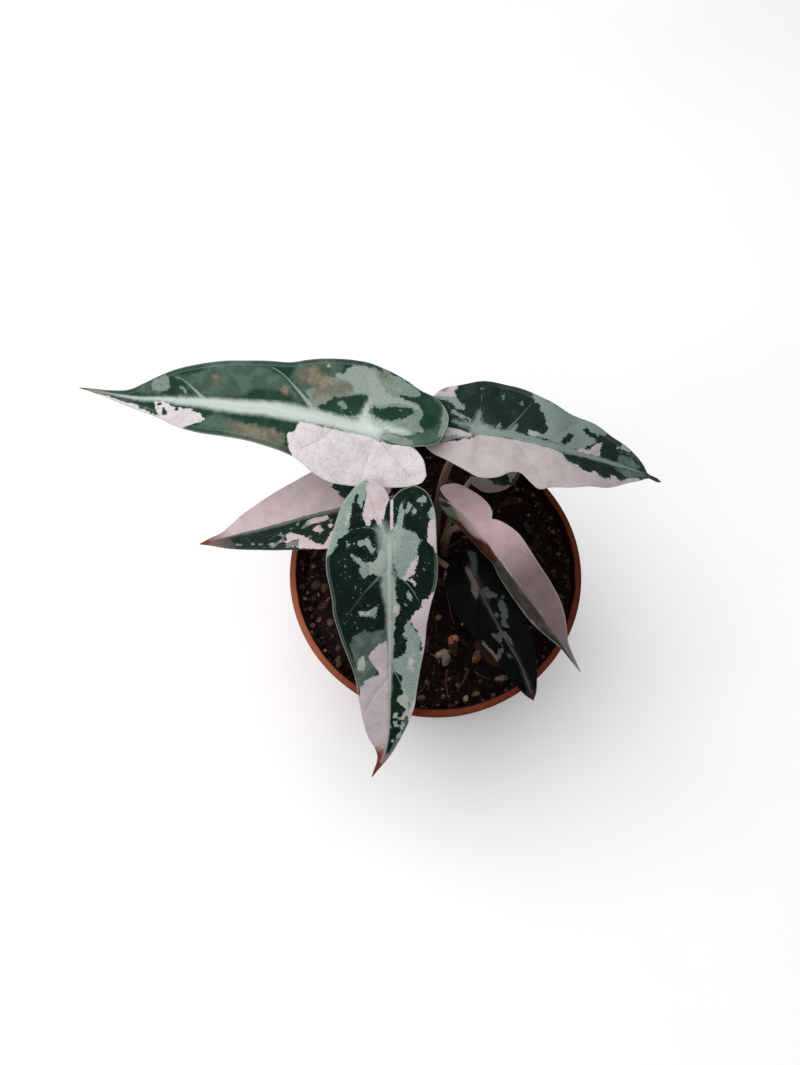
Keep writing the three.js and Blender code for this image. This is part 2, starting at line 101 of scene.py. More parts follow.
# %% Finishes
class Finish:
    """A material under construction."""

    def __init__(self, name):
        self.material = bpy.data.materials.new(name)
        self.material.use_nodes = True
        self.nodes = self.material.node_tree.nodes
        self.links = self.material.node_tree.links
        self.nodes.clear()

    def node(self, kind, settings=None, sockets=None, out=0):
        made = self.nodes.new("ShaderNode" + kind)
        for key, value in (settings or {}).items():
            if key == "stops":
                for extra in range(len(value) - 2):
                    made.color_ramp.elements.new(0.5)
                for element, (place, colour) in zip(made.color_ramp.elements, value):
                    element.position = place
                    element.color = (*colour, 1)
            else:
                setattr(made, key, value)
        for key, value in (sockets or {}).items():
            if isinstance(value, Wire):
                self.links.new(value.socket, made.inputs[key])
            else:
                made.inputs[key].default_value = value
        return Wire(self, made.outputs[out]) if len(made.outputs) else None

    def split(self, vector):
        """The three numbers of a position, each on a wire of its own."""
        x = self.node("SeparateXYZ", None, {"Vector": vector})
        return [Wire(self, socket) for socket in x.socket.node.outputs]

    def stored(self, name):
        """The three numbers that a mesh stores at each of its points under that name."""
        return self.split(self.node("Attribute", {"attribute_name": name}, out="Vector"))

    def place(self, x, y, z=0.0):
        return self.node("CombineXYZ", None, {"X": x, "Y": y, "Z": z})

    def clouds(self, where, scale, detail=2.0, rough=0.5):
        """Soft noise round 0.5."""
        return self.node("TexNoise", None, {
            "Vector": where, "Scale": scale, "Detail": detail, "Roughness": rough})

    def cells(self, where, scale, feature="DISTANCE_TO_EDGE", out="Distance"):
        return self.node("TexVoronoi", {"feature": feature}, {"Vector": where, "Scale": scale}, out)

    def paint(self, under, over, mask):
        """Colour `over` laid on colour `under` where the mask is 1."""
        # A Mix node has sockets for numbers, vectors and colours. Its colours go in at 6 and 7, out at 2.
        colours = [colour if isinstance(colour, Wire) else (*colour, 1) for colour in (under, over)]
        return self.node("Mix", {"data_type": "RGBA"}, {0: mask, 6: colours[0], 7: colours[1]}, 2)

    def shade(self, colour, amount):
        """A colour made darker or lighter by a value."""
        return self.node("VectorMath", {"operation": "SCALE"}, {0: colour, "Scale": amount})

    def bump(self, height, depth):
        return self.node("Bump", None, {"Height": height, "Distance": depth, "Strength": 1.0})

    def surface(self, **sockets):
        sockets = {key.replace("_", " "): value for key, value in sockets.items()}
        shader = self.node("BsdfPrincipled", None, sockets)
        self.node("OutputMaterial", None, {"Surface": shader})
        print(f"finish {self.material.name}: {len(self.nodes)} nodes")
        return self.material


# %% [markdown]
# ## From numbers to a piece
# Every piece is a mesh made from arrays of points and faces, because leaves and crumbs follow formulas.
# Points are in millimetres here and in metres in Blender. A finish often needs to know where it is on the
# piece, so a mesh can store three numbers per point under a name.

# %% Make a piece
def make_piece(name, points, faces, finish, node, stored=None):
    mesh = bpy.data.meshes.new(name)
    mesh.from_pydata((np.asarray(points) * 0.001).tolist(), [], faces)
    mesh.polygons.foreach_set("use_smooth", np.ones(len(mesh.polygons), bool))
    for key, values in (stored or {}).items():
        layer = mesh.attributes.new(key, "FLOAT_VECTOR", "POINT")
        layer.data.foreach_set("vector", np.asarray(values, np.float32).ravel())
    mesh.materials.append(finish)
    piece = bpy.data.objects.new(name, mesh)
    bpy.context.scene.collection.objects.link(piece)
    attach(piece, "root")
    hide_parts(node)
    triangles = sum(len(face) - 2 for face in faces)
    print(f"{name}: {len(mesh.vertices)} points, {triangles} triangles")
    return piece


# %% [markdown]
# ## Smooth lines
# Midribs, leaf margins and stalks are drawn with a few points each and a Catmull-Rom curve through them.
# `pull` 0 spaces the curve evenly, 0.5 keeps it tight where points lie close together.

# %% Lines that can be read at any distance
def smooth_line(corners, steps, pull):
    p = np.asarray(corners, float)
    p = np.vstack([2 * p[0] - p[1], p, 2 * p[-1] - p[-2]])
    gaps = np.linalg.norm(np.diff(p, axis=0), axis=1) ** pull
    t = np.linspace(0, 1, steps, endpoint=False)[:, None]
    parts = []
    for i in range(1, len(p) - 2):
        before, here, after = gaps[i - 1:i + 2]
        step = p[i + 1] - p[i]
        leave = here * ((p[i] - p[i - 1]) / before - (p[i + 1] - p[i - 1]) / (before + here) + step / here)
        arrive = here * (step / here - (p[i + 2] - p[i]) / (here + after) + (p[i + 2] - p[i + 1]) / after)
        bow, twist = 3 * step - 2 * leave - arrive, leave + arrive - 2 * step
        parts.append(p[i] + leave * t + bow * t**2 + twist * t**3)
    return np.vstack([*parts, p[-2:-1]])


class Line:
    """A curve as many short steps, read by the distance from its start."""

    def __init__(self, points):
        self.points = points
        self.marks = np.r_[0, np.cumsum(np.linalg.norm(np.diff(points, axis=0), axis=1))]
        self.length = self.marks[-1]

    def at(self, distance):
        return np.stack([np.interp(distance, self.marks, column) for column in self.points.T], -1)


# %% [markdown]
# ## The seven leaves
# Each leaf is given as on a drawing board. The spine is the midrib in space: it starts behind the stalk,
# its second point is where the stalk joins, and it ends at the tip. Heights are above the rim of the pot.
# An outline side runs from the end of the basal lobe to the tip as (along the midrib, away from it), and
# the sinus is the bottom of the notch between the lobes. Folds are the angles by which the left and right
# halves are raised, from behind the stalk to the tip. The wave (height, number, start) ripples the margin.
# The stalk goes from its foot past the via points to the blade, with a radius at either end.

# %% Leaf shapes
POT_HEIGHT = 105
SOIL_LEVEL = 93
LEAVES = {
    "left": dict(
        spine=[(-0.7, 17.9, 78), (-23.5, 25.5, 79), (-53, 33, 82), (-87, 43, 70), (-115.5, 51, 56),
               (-140.5, 62, 42)],
        sinus=-14.2, hollow={"right": (0.86, 0.34)},
        left=[(-21.8, 8.2), (-20.9, 11), (-16.5, 13.7), (-9.6, 16.1), (-2.9, 18.1), (4.4, 19.7), (10.1, 20.3),
              (16.4, 18.9), (25, 15.2), (40.8, 13.3), (52.7, 12.6), (66.8, 12.2), (75.8, 10.8), (84.7, 7.9),
              (95.7, 5.1), (107.7, 2.8), (119.7, 1)],
        right=[(-23, 12.4), (-21.8, 16.2), (-16.6, 20.2), (-9.9, 21), (-4.1, 23.1), (2.6, 25.3), (8.3, 26.2),
               (14.3, 25.2), (23, 22.1), (29.9, 19.6), (35, 18), (46.2, 17.7), (58.5, 16.2), (70.7, 14.1),
               (81.7, 11.8), (88.4, 9.5), (96.7, 5.8), (103.7, 2.9), (113.7, 1.5), (122.7, 0.8)],
        fold=[(-12, -14, 0, 15), (0, 8, 14, 20)], wave=(0.7, 3.5, 0.1),
        foot=(-4.3, 17.3), via=[(-5.5, 18, 20), (-8.5, 18.5, 38), (-14.5, 20, 55)], radius=(2.1, 1.35)),
    "right": dict(
        spine=[(-3.8, 35.1, 70.3), (12.9, 30.6, 70.3), (41.4, 27.5, 63.2), (73.4, 27.5, 41.9),
               (88.6, 28, 27.6)],
        sinus=-10.6,
        left=[(-19.5, 5.6), (-18.6, 10.2), (-15.8, 14.2), (-11, 16.7), (0.6, 19.9), (8.1, 21.1), (13.8, 20.9),
              (23.4, 17.7), (35.6, 15.2), (46.7, 13.6), (56.9, 10.6), (65, 8.9), (72.6, 5.5), (76.4, 3),
              (78.4, 1.2), (81, 0.7), (86, 0.7)],
        right=[(-17.9, 7.7), (-16.7, 9.6), (-12.9, 11.7), (-7.1, 13), (-1.5, 14.6), (3.8, 16.2), (9.6, 15.4),
               (13.8, 12.9), (17.5, 12.5), (21, 14.9), (24.8, 16.8), (29.5, 15.2), (37.3, 14), (45.7, 12),
               (55.4, 10.3), (66.5, 6), (73.2, 3.5), (77.2, 1.7), (80, 0.8), (86, 0.7)],
        fold=[(0, 5, 10, 15), (-4, -2, 4, 12)], wave=(1.1, 3.2, 0.35),
        foot=(0.7, 17.6), via=[(1.5, 27, 14), (4, 31.5, 33), (8, 33, 50)], radius=(2, 1.3)),
    "left_low": dict(
        spine=[(-17.5, 16.5, 40), (-27, 14.5, 40), (-45.5, 11, 38), (-71, 7.5, 28), (-94.5, 6, 16)],
        sinus=-5.5,
        left=[(-11, 5.5), (-9.4, 8.8), (-6.4, 11.8), (-0.5, 14.4), (9.8, 15.7), (17.4, 15.4), (23.6, 14.1),
              (30.5, 12.4), (37.6, 10.8), (46, 8.6), (56.7, 5.8), (63, 3.6), (68, 1.6)],
        right=[(-11, 5.5), (-9.7, 8.6), (-6.2, 12.4), (-1.5, 15.6), (5.4, 17.6), (13.3, 17.8), (20.3, 16.7),
               (27.2, 14.7), (35, 12.5), (43, 10.2), (51.5, 7.3), (57, 4.4), (61.6, 2.3), (68, 1.2)],
        fold=[(0, 8, 12, 18), (0, 8, 12, 18)], wave=(0.6, 2.6, 0.6),
        foot=(-7.4, 12.8), via=[(-10, 16, 14), (-14, 20, 31)], radius=(1.7, 1.1)),
    "front": dict(
        spine=[(-17.5, 7, 80), (-18.5, -11.5, 73), (-18.5, -27, 59), (-18.5, -46, 36), (-19.5, -70.5, 9),
               (-25.5, -83, -4)],
        sinus=-13.5,
        left=[(-19.3, 7.6), (-18.6, 10), (-16.7, 12.7), (-11.1, 15.2), (-4.4, 16.1), (3.4, 16.6), (9.1, 17.1),
              (16.4, 16.7), (24, 14.8), (33, 13.4), (42, 12.9), (51.5, 11.6), (63, 10.2), (70, 9.5),
              (76.6, 7.8), (84.6, 5.1), (91.7, 3), (97.6, 1.6)],
        right=[(-20.6, 6.6), (-19.8, 9.8), (-16, 13.5), (-10.7, 16.7), (-5.7, 18.3), (0.5, 19.9), (5.3, 21.4),
               (10.4, 21.6), (17, 20.7), (23.8, 20), (29, 19.9), (37.4, 18.1), (47, 15.3), (55.6, 12.9),
               (65, 11.7), (75.4, 10.1), (86.6, 7.2), (92.4, 3.8), (97, 1.4)],
        fold=[(2, 5, 10, 16), (2, 5, 10, 16)], wave=(0.7, 3, 0.5),
        foot=(-5.5, 7.5), via=[(-8, 4, 18), (-13, -3, 42)], radius=(2.1, 1.35)),
    "folded": dict(
        spine=[(0.8, 19.3, 36), (12, 8, 39), (28, -13, 34), (44, -31, 22), (56, -44, 8)],
        sinus=-9,
        left=[(-18, 2), (-18, 3.6), (-17, 4.9), (-14.1, 7.4), (-7.9, 8.5), (-2.1, 9.2), (1.4, 9),
              (3.6, 7.9), (4.8, 6.6), (6.2, 7.9), (9.9, 10), (15.5, 11.6), (21, 11.5), (29, 10.9),
              (35.6, 10.6), (43.5, 9.5), (49.6, 7.7), (56, 4.8), (60.5, 2.6), (67, 1.2)],
        right=[(-16.2, 1.8), (-15.1, 4.8), (-11.9, 7.7), (-6.8, 9.2), (1.9, 9), (12, 7.6), (19, 6), (24, 7.6),
               (35, 8.2), (45, 8.1), (51, 6.6), (56, 4.4), (62, 1.8), (69, 1)],
        fold=[(10, 20, 28, 36), (-72, -74, -72, -50)], wave=(0.4, 3, 0.2),
        foot=(4.1, 10.6), via=[(6, 12.4, 14), (11.6, 11, 25)], radius=(1.7, 1)),
    "low_dark": dict(
        spine=[(8.5, 2.5, 16), (14.5, -9.5, 18), (23.5, -27.5, 16), (32, -41.5, 11), (37.5, -54.5, 5)],
        sinus=-6,
        left=[(-12.6, 3.4), (-11, 6.5), (-6.1, 9.6), (1.2, 10.9), (10.3, 11.4), (18.6, 11), (26, 10.1),
              (32.4, 8.5), (40.8, 5.5), (46, 3.6), (49.9, 2)],
        right=[(-10.4, 5), (-8, 8.6), (-4, 11), (0, 12.3), (7, 13), (17, 11.2), (22.8, 9.4), (27.4, 8.3),
               (36, 7.2), (45, 4.5), (49.5, 2.6)],
        fold=[(5, 8, 12, 20), (5, 8, 12, 20)], wave=(0.4, 2.4, 0.2),
        foot=(0.6, 6.4), via=[(2.4, 3.4, 0), (8, -2.6, 6)], radius=(1.4, 1)),
    "rear_small": dict(
        spine=[(12, 33, 24), (17.5, 36, 26), (27.5, 44, 25), (40.5, 54, 20), (52.5, 64.5, 12)],
        sinus=-3.5,
        left=[(-6.4, 3.6), (-4.6, 7.4), (0, 10), (8, 11), (16, 9.6), (24, 7.2), (32, 4.4), (40, 2),
              (44, 0.9)],
        right=[(-7, 4.4), (-4.6, 9.4), (0, 13), (5, 13.9), (10, 12.6), (14, 10.8), (20, 9), (28, 6.4),
               (36, 3.4), (43, 1.1)],
        fold=[(4, 6, 10, 16), (-6, -4, 4, 12)], wave=(0.3, 2, 0.2),
        foot=(3.9, 15.2), via=[(6.5, 21, 4), (11, 29, 14)], radius=(1.4, 1)),
}
print(len(LEAVES), "leaves")

# %% [markdown]
# ## Where the colours lie
# Variegated leaves are patched by chance: sectors without green are pink or cream, sectors that are half
# green are grey-mint, and islands of the deepest green lie between them. Each patch is a small polygon drawn
# in leaf coordinates. (u, v) is millimetres along the midrib and to its left. Later patches lie on earlier
# ones, as in painting. The mesh stores how deep each point lies inside a colour, and the finish breaks the
# edges up with noise, so that a few corners are enough for a natural border.

# %% Patches of the long left leaf
# A patch is (colour, corners). A side vein is (width of its pale line, or 0 where none shows, points).
MARKS = {}
VEINS = {}
MARKS["left"] = [
    ("mid", [(-13, 1), (-18, -2), (-22, -4.5), (-24, -9), (-24.5, -14), (-21.5, -19), (-16.5, -21.5),
             (-12, -21), (-13.6, -19.6), (-17, -18.5), (-19.2, -15), (-19.4, -11.5), (-18.4, -8.6),
             (-15.4, -7.6), (-12, -3), (-5, -2), (-1.5, 0), (-2, 1.8), (-7, 2)]),
    ("mid", [(19, -7), (24, -4), (29, -7), (34, -12), (33, -17.5), (24, -21.5), (17, -23), (16, -19),
             (18, -15)]),
    ("mid", [(5, -12.6), (6.4, -9), (10, -9.6), (13.6, -10.4), (9, -13.6), (6, -14)]),
    ("mint", [(-14.4, -5.8), (-12.4, -3.6), (-7, -2.2), (0, -4), (8, -3.6), (18, -3), (24.5, -4.3),
              (27.5, -8), (23.5, -11), (22.4, -15), (18, -16.5), (16.5, -18.5), (15, -22), (8.5, -26.3),
              (4, -26), (1, -24), (-4, -22.8), (-8, -21.2), (-10.8, -19), (-9, -17.2), (-4, -16.8),
              (-4.4, -15.6), (-10, -15.6), (-13, -14), (-13.8, -11), (-13.4, -8.4), (-15.6, -7),
              (-16.4, -5.6)]),
    ("dark", [(-10.3, -11.7), (-8.3, -9.3), (-6, -7.3), (-2.7, -6.2), (1.3, -5.8), (3.7, -6.8), (4.8, -8),
              (2.7, -9.7), (-0.3, -10), (-1.7, -11.2), (-4.7, -11.7), (-6.7, -12.5), (-9.3, -13.1)]),
    ("mint", [(-7, -10.7), (-6, -10.3), (-5.6, -11.1), (-6.6, -11.5)]),
    ("dark", [(6.7, -4.7), (10, -3.7), (14, -2.9), (19.3, -2.8), (22.7, -3.7), (20.7, -4.7), (19, -6.7),
              (18.3, -8), (16.7, -9), (14, -10.3), (11.3, -11.3), (8.7, -12.7), (6.7, -13.4), (5.2, -12.7),
              (5.9, -9.3), (6.2, -6.7)]),
    ("mint", [(11.6, -6.2), (13, -5.6), (14.2, -6), (15.8, -6.6), (15.4, -7.8), (14, -8.1), (12.3, -7.2)]),
    ("mint", [(9.9, -5.1), (10.5, -4.9), (10.7, -5.6), (10.1, -5.8)]),
    ("mint", [(13.2, -4.5), (13.9, -4.4), (14, -5), (13.3, -5.1)]),
    ("pale", [(-3.5, -13.8), (-1, -11.8), (2, -10.6), (4.6, -10), (5.4, -13), (7.5, -13.9), (11, -12.4),
              (12, -14.8), (14, -16), (18, -16), (18.5, -17.5), (15.5, -19.5), (14.5, -22.7), (10, -24.8),
              (6, -23.2), (3.5, -19.5), (0.5, -16.5)]),
    ("mint", [(-20.6, -5.4), (-22.8, -7.6), (-24.4, -11.6), (-24, -15.4), (-21, -19.4), (-18, -20.8),
              (-19.2, -18.4), (-20.4, -14.4), (-20.8, -10.6), (-20.6, -8)]),
    ("pale", [(-12, -12.8), (-8, -13.8), (-4, -13.4), (0, -12), (0.5, -14.6), (-3.5, -15.4), (-8, -15),
              (-12, -14.4)]),
    ("pale", [(-4.2, -18.4), (-2.6, -17.8), (-1.6, -18.5), (-3, -19.4)]),
    ("dark", [(3, -23.6), (7, -24.6), (11, -24.2), (14.4, -22.8), (15.4, -21.4), (11, -25.4), (7, -26.2),
              (3.6, -25)]),
    ("dark", [(-16.4, -9.2), (-14.6, -9.4), (-13.9, -12), (-13, -14.6), (-11.2, -16.4), (-8, -16.6),
              (-4.6, -15.6), (-3.8, -16.2), (-5, -17), (-8.6, -17.8), (-10.6, -18.4), (-11.6, -20),
              (-14, -20), (-16.4, -18.4), (-17.8, -15.4), (-17.8, -12), (-17.2, -10.4)]),
    ("mid", [(24.5, -3), (31, -8), (36.5, -12.2), (43, -14.9), (50, -16.4), (49, -19), (65.8, -18),
             (79.7, -15), (89.8, -12), (103.7, -4), (97.7, -1.5), (83.7, -1.2), (69.7, -1.5), (59.7, -1.5),
             (51.7, -2.6), (46, -5.6), (38, -6.6), (32, -5.6), (30, -3.6)]),
    ("dark", [(72.7, -2.6), (79.7, -1.6), (86.7, -2), (84.7, -3.5), (83.7, -5), (85.1, -8.5), (82.7, -8.8),
              (78.7, -7), (75.7, -4.5)]),
    ("mint", [(74.7, -2), (76.7, -3), (78.7, -5), (76.7, -5), (75.2, -3.8)]),
    ("mint", [(82.7, -4.3), (85.7, -3), (90.7, -3), (92.7, -5), (91.8, -7.5), (86.7, -9.4), (85, -8.2),
              (84, -6)]),
    ("dark", [(68.7, -11.6), (75.7, -9.6), (83.7, -9.6), (86.7, -9.6), (79.7, -11.6), (71.7, -13)]),
    ("mid", [(30, 13), (47, 12.6), (56, 11), (52, 8), (42, 7.6), (31, 8.4)]),
    ("mid", [(28.9, 14.5), (44.8, 14.5), (55.7, 13.6), (65.8, 10), (62.8, 6), (57.7, 4), (51.7, 5.6),
             (44.8, 7), (35.8, 7.3), (29.8, 8.6)]),
    ("dark", [(54.7, 11), (61.8, 10.4), (69.8, 10.6), (73.8, 11.6), (65.8, 13), (51.7, 13.4)]),
    ("pink", [(-13.6, 0.3), (-23, 3), (-23.7, 14.9), (-1.2, 23.9), (12.1, 26.1), (22.1, 20), (26.3, 14.6),
              (27.6, 12.8), (29.6, 9.4), (29.3, 7.8), (28, 6.8), (26.8, 5.4), (26.2, 3), (16.7, 2.6), (10, 2),
              (4.9, 1.6), (0.5, 1.6), (-2, 2), (-6, 1.8)]),
    ("pink", [(63.3, 7.2), (66.3, 8.8), (69.8, 10.6), (73.8, 12.5), (81.8, 12), (89.7, 8), (99.7, 5.5),
              (119.7, 2.5), (119.7, 0.8), (111.7, 1.4), (103.7, 2.4), (97.7, 2.8), (94.7, 4.2), (91.7, 5.2),
              (87.7, 6.5), (83.7, 7.4), (86.2, 6), (87.2, 4), (88.2, 2), (84.7, 1.8), (81.2, 2), (79.2, 3.5),
              (76.7, 3.6), (73.8, 4), (70.7, 3.8), (69.8, 4.6), (67.3, 5.2), (65.8, 5.5), (64.6, 6.6)]),
    ("dark", [(80.3, 6.8), (81.8, 7), (83.7, 6), (84, 4.4), (82.7, 4.2), (81.2, 5)]),
    ("mint", [(90.1, 4.4), (91.1, 5.2), (92.3, 4.4), (91.3, 3.8)]),
    ("dark", [(84.4, 2.6), (85.6, 3.4), (86.6, 2.6), (85.4, 2)]),
    ("dark", [(76, 4.4), (77, 5.2), (78.2, 4.6), (77.2, 3.6)]),
    ("tan", [(29.3, 10.5), (32.8, 12), (39.8, 12.4), (49.7, 11), (53.7, 8.5), (49.7, 7), (43.8, 7.5),
             (35.8, 7.2), (30.8, 8.5)]),
    ("tan", [(11.7, -14.3), (13.3, -11.3), (17.3, -9.3), (20, -6.7), (23.6, -5), (25.4, -6.8), (25, -9.3),
             (26.7, -12), (30, -11.3), (31.7, -14), (30.7, -17), (26, -17.8), (23.3, -16), (20.7, -15.3),
             (16.7, -15.3), (14, -15.9)]),
    ("mint", [(-3, 0.6), (-7, 1), (-11, 0.8), (-14, -0.4), (-13.4, -1.9), (-9, -1.8), (-4, -1.6)]),
    ("tan", [(0, -21.4), (3, -20.6), (5.6, -21.6), (5, -24), (2, -24)]),
    ("spot", [(21.3, -18.9), (22.4, -18.7), (22.8, -19.6), (22, -20.4), (21.2, -19.8)]),
    ("tan", [(60.2, -5.5), (61.5, -5.5), (64.8, -9.5), (63.3, -10)]),
    ("tan", [(33, -6.4), (35, -5.6), (36.6, -7), (35.6, -8.8), (33.6, -8.6)]),
    ("glow", [(-2.6, 0.8), (-1.4, 2), (5, 2), (15, 2.2), (26.8, 3), (44.7, 3.5), (59.7, 3.4), (74.7, 2.4),
              (87.7, 1.5), (97.7, 0.9), (109.7, 0.3), (97.7, -0.3), (84.7, -0.5), (74.7, -0.8),
              (59.7, -1.2), (44.7, -1.8), (29.7, -2.6), (19.8, -2.6), (12, -2.8), (7.5, -3.4), (6.2, -6),
              (5.3, -12), (4.4, -7), (2.6, -4.8), (-1.3, -4.6), (-6, -4.6), (-11, -4.2), (-8, -3),
              (-3.4, -2)]),
]
VEINS["left"] = [
    (1.15, [(22.5, -2.4), (25, -4.2), (31, -8.8), (36.5, -12.7), (41.5, -15), (47, -16.2)]),
    (0.9, [(66.7, -0.6), (72.7, -4.5), (78.7, -7.9), (84.7, -9)]),
    (0, [(3.1, -3), (4.8, -8), (5, -13), (8.2, -20.1)]), (0, [(-0.1, 1), (0, 8), (0.3, 17.9)]),
    (0, [(13.9, 1), (18, 7), (24, 12)]), (0, [(-1.5, -2.9), (-10.2, -5.1), (-16, -7.7), (-17.8, -13.5)]),
    (0, [(-1.1, 1), (-9, 5.8), (-17.1, 10.4)]), (0, [(47.7, 1), (55.7, 5.5), (61.8, 9.5)]),
    (0, [(45.7, -1), (55.8, -6.5), (65.8, -11)]), (0, [(33.7, 2), (39.8, 7), (46.7, 11)]),
]

# %% Patches of the broad right leaf
MARKS["right"] = [
    ("mint", [(18.8, 17.3), (20.3, 19), (26.4, 18.3), (36.6, 16.3), (48.8, 13.6), (54.9, 11.2), (51.8, 9.1),
              (49.8, 8.6), (46.7, 9.7), (44.7, 11), (42.7, 9.8), (43.7, 8.6), (47.8, 7.4), (49.8, 6.6),
              (46.7, 4.6), (42.7, 2.2), (37.6, 1), (30.5, 1.6), (26.4, 2.3), (24.4, 2.2), (22.4, 2.8),
              (23.9, 3.7), (24.9, 3.3), (26.4, 5.6), (25.4, 8.1), (24.4, 11.2), (22.9, 13.7), (21.8, 15.2),
              (20.8, 15.4)]),
    ("dark", [(20.8, 19.3), (26.4, 16.9), (35.6, 15.2), (45.7, 13.6), (55.9, 11.1), (63, 10.6), (55.9, 13.2),
              (40.6, 17.3), (25.4, 19.3)]),
    ("dark", [(32, 2.3), (33.5, 4.6), (35.6, 6.6), (38.3, 6.6), (38.1, 5.6), (36.4, 3.6), (34.5, 2)]),
    ("mint", [(-20.3, 10.2), (-18.3, 9.1), (-12.2, 9.1), (-10.2, 11.2), (-11.7, 13.7), (-11.4, 15.7),
              (-12.2, 18.3), (-18.3, 16.3)]),
    ("mint", [(-12.4, 11.2), (-9.8, 10.6), (-8, 9.4), (-5.8, 7.6), (-6.6, 6.4), (-9.1, 6.6), (-11.2, 8.4),
              (-14.2, 9.4)]),
    ("pink", [(-19.8, 9.8), (-18.2, 11.6), (-15.4, 13.2), (-13.8, 16.2), (-11.6, 16.6), (-12.2, 13.4),
              (-10.4, 11.4), (-14.2, 10.6), (-18.3, 9.6)]),
    ("mint", [(-11, 5.9), (-6, 5), (-2.5, 4), (-2.5, 3.2), (-6, 4), (-11, 5)]),
    ("mint", [(7.4, 15.2), (8.3, 16.1), (9.3, 15.4), (8.5, 14.4)]),
    ("mint", [(14.6, 13.8), (15.8, 15), (17.1, 13.6), (15.8, 12.6)]),
    ("mint", [(-0.8, 16.9), (0.2, 17.1), (0.4, 16.5), (-0.6, 16.3)]),
    ("mint", [(5.7, 3), (6.9, 4.3), (8.1, 4.7), (8.7, 3.5), (7.1, 2.4)]),
    ("pale", [(17.9, 2.4), (19.3, 4.3), (22.1, 4.1), (23.4, 3), (20.3, 2.2)]),
    ("pink", [(39.6, 0.9), (43.7, 2.2), (46.7, 3.6), (49.8, 5.9), (51.6, 6.9), (52, 4.6), (51.8, 2.6),
              (50.8, 1.2), (45.7, 0.9)]),
    ("pale", [(60.5, 6.9), (62.5, 8.3), (64, 10.6), (67.1, 9.6), (68.1, 7.3), (66.5, 6.5), (63, 6.6)]),
    ("mid", [(61, 1), (60.6, 3.4), (63, 4.6), (66, 4.4), (68.6, 5.4), (70, 3.5), (74, 2.2), (71.1, 0.4)]),
    ("mid", [(61.6, 5.2), (63.4, 6), (66, 6.2), (70.6, 6.4), (73, 4.8), (69, 5.8), (65, 5.2)]),
    ("dark", [(-14, -5.6), (-8, -3.7), (-2, -2.6), (-1, -3.3), (-6, -4.9), (-12, -6.9)]),
    ("mid", [(57.9, -1.6), (65, -0.6), (77.2, 0), (87.4, 0), (71.1, -2.8), (67.1, -4.6), (64, -4.1),
             (61, -3)]),
    ("mint", [(-11.2, -0.8), (-4.1, -1.2), (-1, -2.6), (-5.1, -4.5), (-9.1, -5.7), (-12.2, -8.1),
              (-18.3, -9.1), (-16.3, -5.1)]),
    ("pink", [(-19.3, -8.5), (-12.2, -7.7), (-9.1, -6.1), (-5.1, -4.7), (-2, -3.3), (0, -1.6), (3, -0.9),
              (10.2, -0.6), (16.3, -0.4), (24.4, -0.8), (30.5, -1.4), (34, -2.2), (35.1, -4.1),
              (37.6, -4.4), (40.1, -5.1), (41.7, -6.6), (44.7, -6.6), (47.8, -6.1), (50.8, -7.3),
              (52.8, -7.6), (55.4, -7.1), (55.9, -5.6), (57.9, -5.1), (59.4, -6.1), (62, -6.4), (64, -5.1),
              (68.1, -4.1), (72.1, -3.3), (77.2, -2), (67.1, -9.1), (55.9, -13.2), (40.6, -17.3),
              (24.4, -20.3), (5.1, -19.3), (-12.2, -15.2), (-20.3, -10.2)]),
    ("pink", [(-11.6, -1.2), (-5.1, -1), (-1.4, -1.2), (-2, -2.6), (-6.1, -3.5), (-11.2, -4.5)]),
    ("spot", [(-0.6, 0.9), (0.6, 1.1), (0.8, -0.2), (-0.4, -0.4)]),
    ("glow", [(-3, 2.2), (-1.2, 3), (-0.5, 7.4), (-0.1, 7.4), (1.2, 3), (4.1, 2.2), (9, 2.2), (12, 2.7),
              (14.4, 5.6), (14.7, 5.4), (13.7, 2.8), (17.3, 2), (26.4, 1.7), (40.6, 1.1), (61, 0.8),
              (77.2, 0.3), (61, -0.6), (40.6, -1), (28.4, -1.4), (15.2, -0.2), (5.1, -0.6), (0, -1.4),
              (-2.4, -0.6)]),
    ("glow", [(-9.1, 2), (-3, 1.8), (-3, 1), (-9.1, 1.6)]),
]
VEINS["right"] = [
    (0.6, [(0, 2), (0, 8.1), (-0.6, 17.3)]), (0.7, [(11.2, 3), (15.2, 8.6), (18.9, 14.2), (21.3, 17.3)]),
    (0, [(27.4, 1), (33.5, 7.1), (41.7, 13.2)]), (0, [(47.8, 1), (54.9, 5.1), (63, 8.7)]),
    (0.4, [(-3, 2.5), (-10.2, 5.1), (-15.2, 9.1)]), (0.2, [(1, -1), (1, -7.1), (0.6, -14.2)]),
    (0, [(14.2, -1), (20.3, -7.1), (26.4, -14.2)]), (0, [(34.5, -2), (41.7, -7.1), (50.8, -10.8)]),
    (0.3, [(-2, -2), (-8.1, -5.1), (-14.2, -8.7)]),
]

